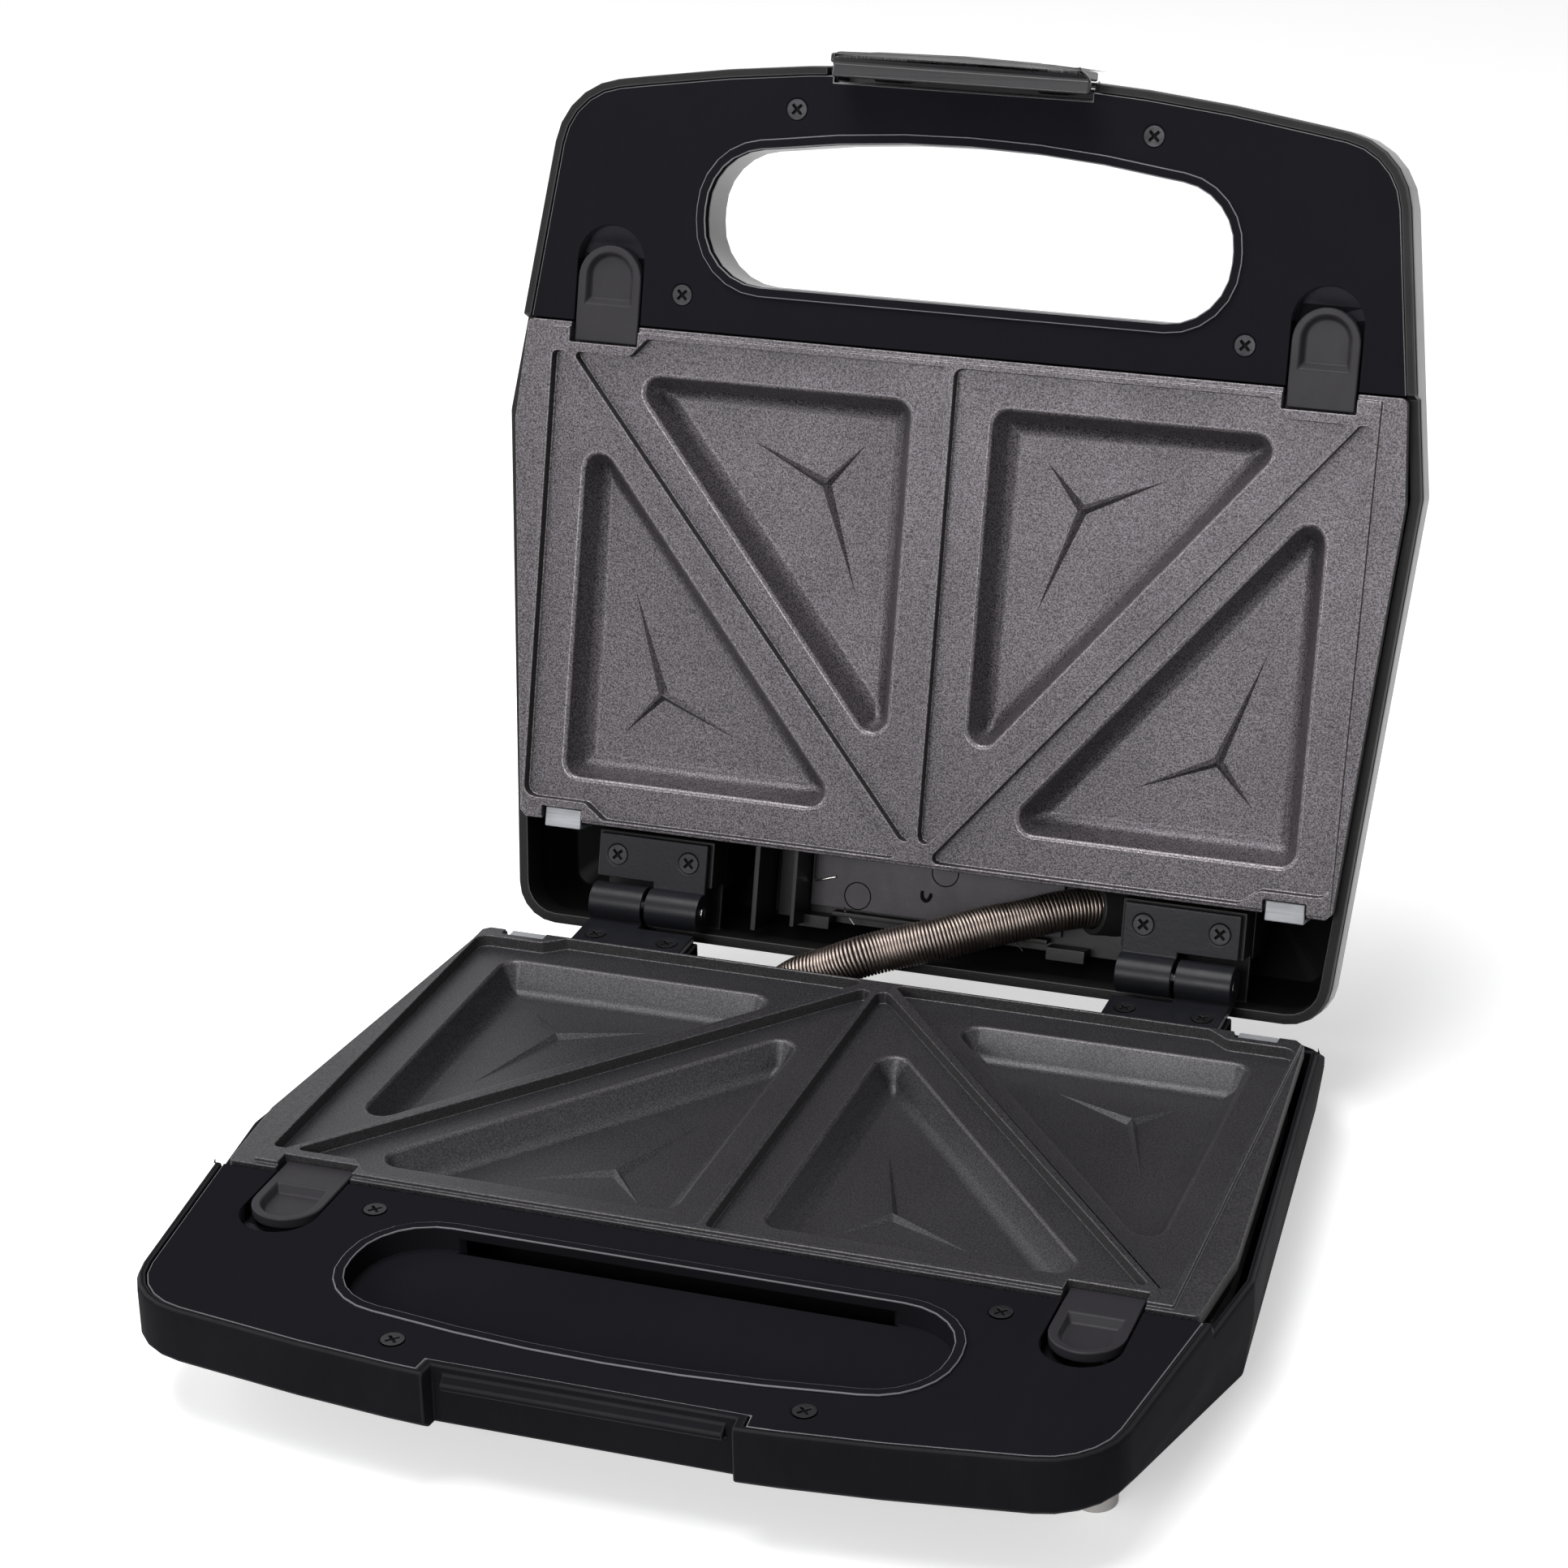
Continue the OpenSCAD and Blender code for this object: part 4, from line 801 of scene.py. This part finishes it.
# Return springs: the CAD coils, merged and smoothed
coilSmoothAngle = 60


def returnSpring(nodeName):
    piece = linked(nodeName + "_coil", nodes[nodeName].data.copy())
    finished(piece, bodyOf[nodeName], slotOf[nodeName], finishes["spring_steel"])
    mergedMesh(piece)
    smoothed(piece, coilSmoothAngle)
    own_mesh(piece)
    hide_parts(nodeName)


for half in ("base", "lid"):
    for side in ("left", "right"):
        returnSpring(f"{half}_spring_{side}")
print("springs fitted")


# Inside the lid's hinge end: terminal plate, ribs and ejector marks, as (corner, size) in x, y and depth
hingeEnd = {
    "plate": ((-34.4, 89.9, 22.4), (70, 15.7, 1.2)),
    "plateEdge": 0.2,
    "ribs": [
        ((-46.0, 88, 8), (1.4, 24, 16)),
        ((-35.8, 88, 10), (1.2, 22, 14)),
        ((-37.9, 107.6, 18), (10.5, 3.4, 5)),
        ((33.0, 107.6, 18), (10.5, 3.4, 5)),
        ((-27.4, 106.2, 20), (60.0, 1.2, 4)),
        ((-33.9, 89.3, 22.2), (0.9, 9.2, 0.5)),
    ],
    "ribEdge": 0.18,
    "rings": [(-21.3, 101.7), (2.6, 92.4), (27.0, 101.9)],
    "ringRadius": 3.65,
    "ringThickness": 0.16,
    "ringDepth": 22.36,
}


# A moulded block in the lid's own x, y and depth, with its edges rounded
def lidBlock(name, corner, size, edge, material, slotName):
    bpy.ops.object.select_all(action="DESELECT")
    bpy.ops.mesh.primitive_cube_add(size=1)
    piece = bpy.context.object
    piece.name = name
    for v in piece.data.vertices:
        v.co = Vector([c + (0.5 + k) * d for c, k, d in zip(corner, v.co, size)])
    piece.data.transform(lidTurn() @ Matrix.Scale(mm, 4))
    addModifier(piece, "BEVEL", width=edge * mm, segments=2, limit_method="NONE")
    smoothed(piece, angle=40)
    finished(piece, "lid", slotName, material)


# The raised witness ring of an ejector pin
def ringMark(number, x, y):
    bpy.ops.object.select_all(action="DESELECT")
    bpy.ops.mesh.primitive_torus_add(major_radius=hingeEnd["ringRadius"],
        minor_radius=hingeEnd["ringThickness"], major_segments=40, minor_segments=8)
    piece = bpy.context.object
    piece.name = f"ejector_ring_{number}"
    stand = lidTurn() @ Matrix.Translation(Vector((x, y, hingeEnd["ringDepth"])) * mm)
    piece.data.transform(stand @ Matrix.Scale(mm, 4))
    roundShaded(piece)
    finished(piece, "lid", "black_shell", blackAndRecessShade)


lidBlock("terminal_plate", *hingeEnd["plate"], hingeEnd["plateEdge"],
    finishes["board_plastic"], "board_plastic")
for number, (corner, size) in enumerate(hingeEnd["ribs"], 1):
    lidBlock(f"hinge_end_rib_{number}", corner, size, hingeEnd["ribEdge"], insideBlackAndPaintedShade, "black_shell")
for number, (x, y) in enumerate(hingeEnd["rings"], 1):
    ringMark(number, x, y)
print("hinge end filled")


# Conduit: a close-wound wire over a dark core, in millimetres
conduit = {
    "outerRadius": 5.2,
    "wireRadius": 0.44,
    "swell": 0.1,
    "pitch": 0.94,
    "stepsPerTurn": 14,
    "coreStep": 1.2,
    "coreGap": 0.12,
    "routeCuts": 24,
    "route": [(-43, 98.4, -21), (-35, 98.4, -14.5), (-26, 98.4, -7.5), (-19, 98.6, -4.5), (-11, 100, -1),
        (-2.5, 104, 1), (9, 108.5, 3.5), (20, 115, 5.5), (28, 119.5, 6.5), (36, 124, 8)],
    "lidRoute": [(44, 96, 20), (51, 96.5, 27)],
}


# Points along a curve through the given points, as the CAD route runs
def smoothPath(points, cuts):
    path = []
    last = len(points) - 1
    for i in range(last):
        a, b, c, d = (points[max(i - 1, 0)], points[i], points[i + 1], points[min(i + 2, last)])
        for k in range(cuts):
            t = k / cuts
            path.append(0.5 * (2 * b + (c - a) * t + (2 * a - 5 * b + 4 * c - d) * t * t
                + (3 * b - a - 3 * c + d) * t ** 3))
    return path + [points[last]]


# The same path with points an even distance apart
def evenPath(path, step):
    out, left = [path[0]], step
    for a, b in zip(path, path[1:]):
        length, start = (b - a).length, 0.0
        while length - start >= left:
            start += left
            out.append(a.lerp(b, start / length))
            left = step
        left -= length - start
    return out


def tubeCurve(name, points, radius, resolution, material, body, slotName):
    curve = bpy.data.curves.new(name, "CURVE")
    curve.dimensions = "3D"
    curve.bevel_depth = radius
    curve.bevel_resolution = resolution
    curve.use_fill_caps = True
    spline = curve.splines.new("POLY")
    spline.points.add(len(points) - 1)
    for point, place in zip(spline.points, points):
        point.co = (*place, 1)
    useAlone(linked(name, curve))
    bpy.ops.object.convert(target="MESH")
    piece = bpy.context.object
    roundShaded(piece)
    return finished(piece, body, slotName, material)


# The centre line of the wire, wound round the route and a little fuller in the middle of its length
def wireLine(line, radius):
    helix, side = [], Vector((0, 0, 1))
    for i, place in enumerate(line):
        along = (line[min(i + 1, len(line) - 1)] - line[max(i - 1, 0)]).normalized()
        side = (side - along * side.dot(along)).normalized()
        across = along.cross(side)
        angle = 2 * math.pi * i / conduit["stepsPerTurn"]
        fuller = 1 + conduit["swell"] * math.sin(math.pi * i / len(line))
        helix.append(place + (side * math.cos(angle) + across * math.sin(angle)) * radius * fuller)
    return helix


def windConduit():
    corners = [basePoint(*p) for p in conduit["route"]] + [lidPoint(*p) for p in conduit["lidRoute"]]
    route = smoothPath(corners, conduit["routeCuts"])
    radius = (conduit["outerRadius"] - conduit["wireRadius"]) * mm
    helix = wireLine(evenPath(route, conduit["pitch"] * mm / conduit["stepsPerTurn"]), radius)
    inside = evenPath(route, conduit["coreStep"] * mm)
    wire = tubeCurve("conduit_winding", helix, conduit["wireRadius"] * mm, 1,
        finishes["conduit_steel"], None, "conduit_steel")
    core = tubeCurve("conduit_core", inside, radius - conduit["coreGap"] * mm, 5,
        coreFinish, None, "conduit_steel")
    for piece in (wire, core):
        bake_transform(piece)
    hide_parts("conduit")


windConduit()
print("conduit wound")

wireEnds = {  # places in the lid's own x, y and depth, and the radius
    "tie_wire": ([(-33.4, 99.0, 21.9), (-30.9, 98.2, 21.6), (-27.6, 97.2, 21.8)], 0.26),
    "loose_wire_1": ([(-24.8, 105.2, 21.6), (-23.2, 106.8, 20.6), (-20.6, 109.0, 19.4)], 0.2),
    "loose_wire_2": ([(21.0, 104.3, 21.6), (23.3, 107.3, 20.4), (26.5, 109.8, 19.2)], 0.2),
    "wire_hook": ([(-3.4, 98.0, 22.3), (-3.2, 99.7, 21.9), (-2.0, 100.5, 21.7), (-1.1, 99.4, 21.9),
        (-1.0, 98.4, 22.2)], 0.42),
}
for wireName, (places, radius) in wireEnds.items():
    dark = wireName == "wire_hook"
    tubeCurve(wireName, smoothPath([lidPoint(*p) for p in places], 8), radius * mm, 3,
        blackAndRecessShade if dark else wireFinish, "lid", "black_shell" if dark else "pin_steel")


# Camera, lights and floor
cameraSet = {
    "place": (288.38, -749.83, 477.76),
    "turn": (66.5058, 0.15, 17.4942),
    "lens": 88.6,
    "sensor": 36.0,
    "shift": (-0.11769, -0.01362),
    "farthest": 20,
}
cameraData = bpy.data.cameras.new("camera")
camera = linked("camera", cameraData)
camera.location = Vector(cameraSet["place"]) * mm
camera.rotation_euler = [math.radians(a) for a in cameraSet["turn"]]
cameraData.lens = cameraSet["lens"]
cameraData.sensor_width = cameraSet["sensor"]
cameraData.shift_x, cameraData.shift_y = cameraSet["shift"]
cameraData.clip_end = cameraSet["farthest"]
scene.camera = camera
scene.view_settings.view_transform = "Standard"

lamps = {  # name: (place, aim, width, height, power in watts)
    "overhead": ((-0.3, -0.2, 1.7), (0, 0, 0.05), 1.1, 0.8, 22.0),
    "frontBox": ((-0.35, -1.85, 0.85), (0, 0, 0.1), 0.9, 0.7, 19.0),
    "leftBox": ((-1.5, -0.2, 0.8), (0, 0, 0.1), 0.8, 0.9, 8.0),
}
for lampName, (place, aim, width, height, power) in lamps.items():
    lampData = bpy.data.lights.new(lampName, "AREA")
    lampData.shape = "RECTANGLE"
    lampData.size, lampData.size_y, lampData.energy = width, height, power
    lamp = linked(lampName, lampData)
    lamp.location = place
    lamp.rotation_euler = (Vector(aim) - Vector(place)).to_track_quat("-Z", "Y").to_euler()

surround = {
    "lightLevel": 0.2,
    "seenLevel": 1.0,
    "floorSize": 12,
    "floorTone": 0.85,
    "floorRoughness": 0.9,
    "floorSpecular": 0.1,
    "floorLift": 0.5,
}


# 1 where a surface is seen straight, in a reflection or through a lens, and 0 where it only gives light
def seenByCamera(tree):
    rays = tree.nodes.new("ShaderNodeLightPath").outputs
    direct = calc(tree, "MAXIMUM", rays["Is Camera Ray"], rays["Is Glossy Ray"])
    return calc(tree, "MAXIMUM", direct, rays["Is Transmission Ray"])


world = bpy.data.worlds.new("studio")
scene.world = world
world.use_nodes = True
worldTree = world.node_tree
backdrop = worldTree.nodes["Background"]
backdrop.inputs["Color"].default_value = (1, 1, 1, 1)
level = ranged(worldTree, seenByCamera(worldTree), 0, 1, surround["lightLevel"], surround["seenLevel"])
worldTree.links.new(level, backdrop.inputs["Strength"])

bpy.ops.object.select_all(action="DESELECT")
bpy.ops.mesh.primitive_plane_add(size=surround["floorSize"], location=(0, 0, 0))
floor = bpy.context.object
floor.name = "floor"
floorMaterial = bpy.data.materials.new("paleFloor")
floorMaterial.use_nodes = True
floorTree = floorMaterial.node_tree
floorShader = floorTree.nodes["Principled BSDF"]
floorShader.inputs["Base Color"].default_value = (surround["floorTone"],) * 3 + (1,)
floorShader.inputs["Roughness"].default_value = surround["floorRoughness"]
floorShader.inputs["Specular IOR Level"].default_value = surround["floorSpecular"]
floorShader.inputs["Emission Color"].default_value = (1, 1, 1, 1)
lift = calc(floorTree, "MULTIPLY", seenByCamera(floorTree), surround["floorLift"])
floorTree.links.new(lift, floorShader.inputs["Emission Strength"])
floor.data.materials.append(floorMaterial)
print("studio set")
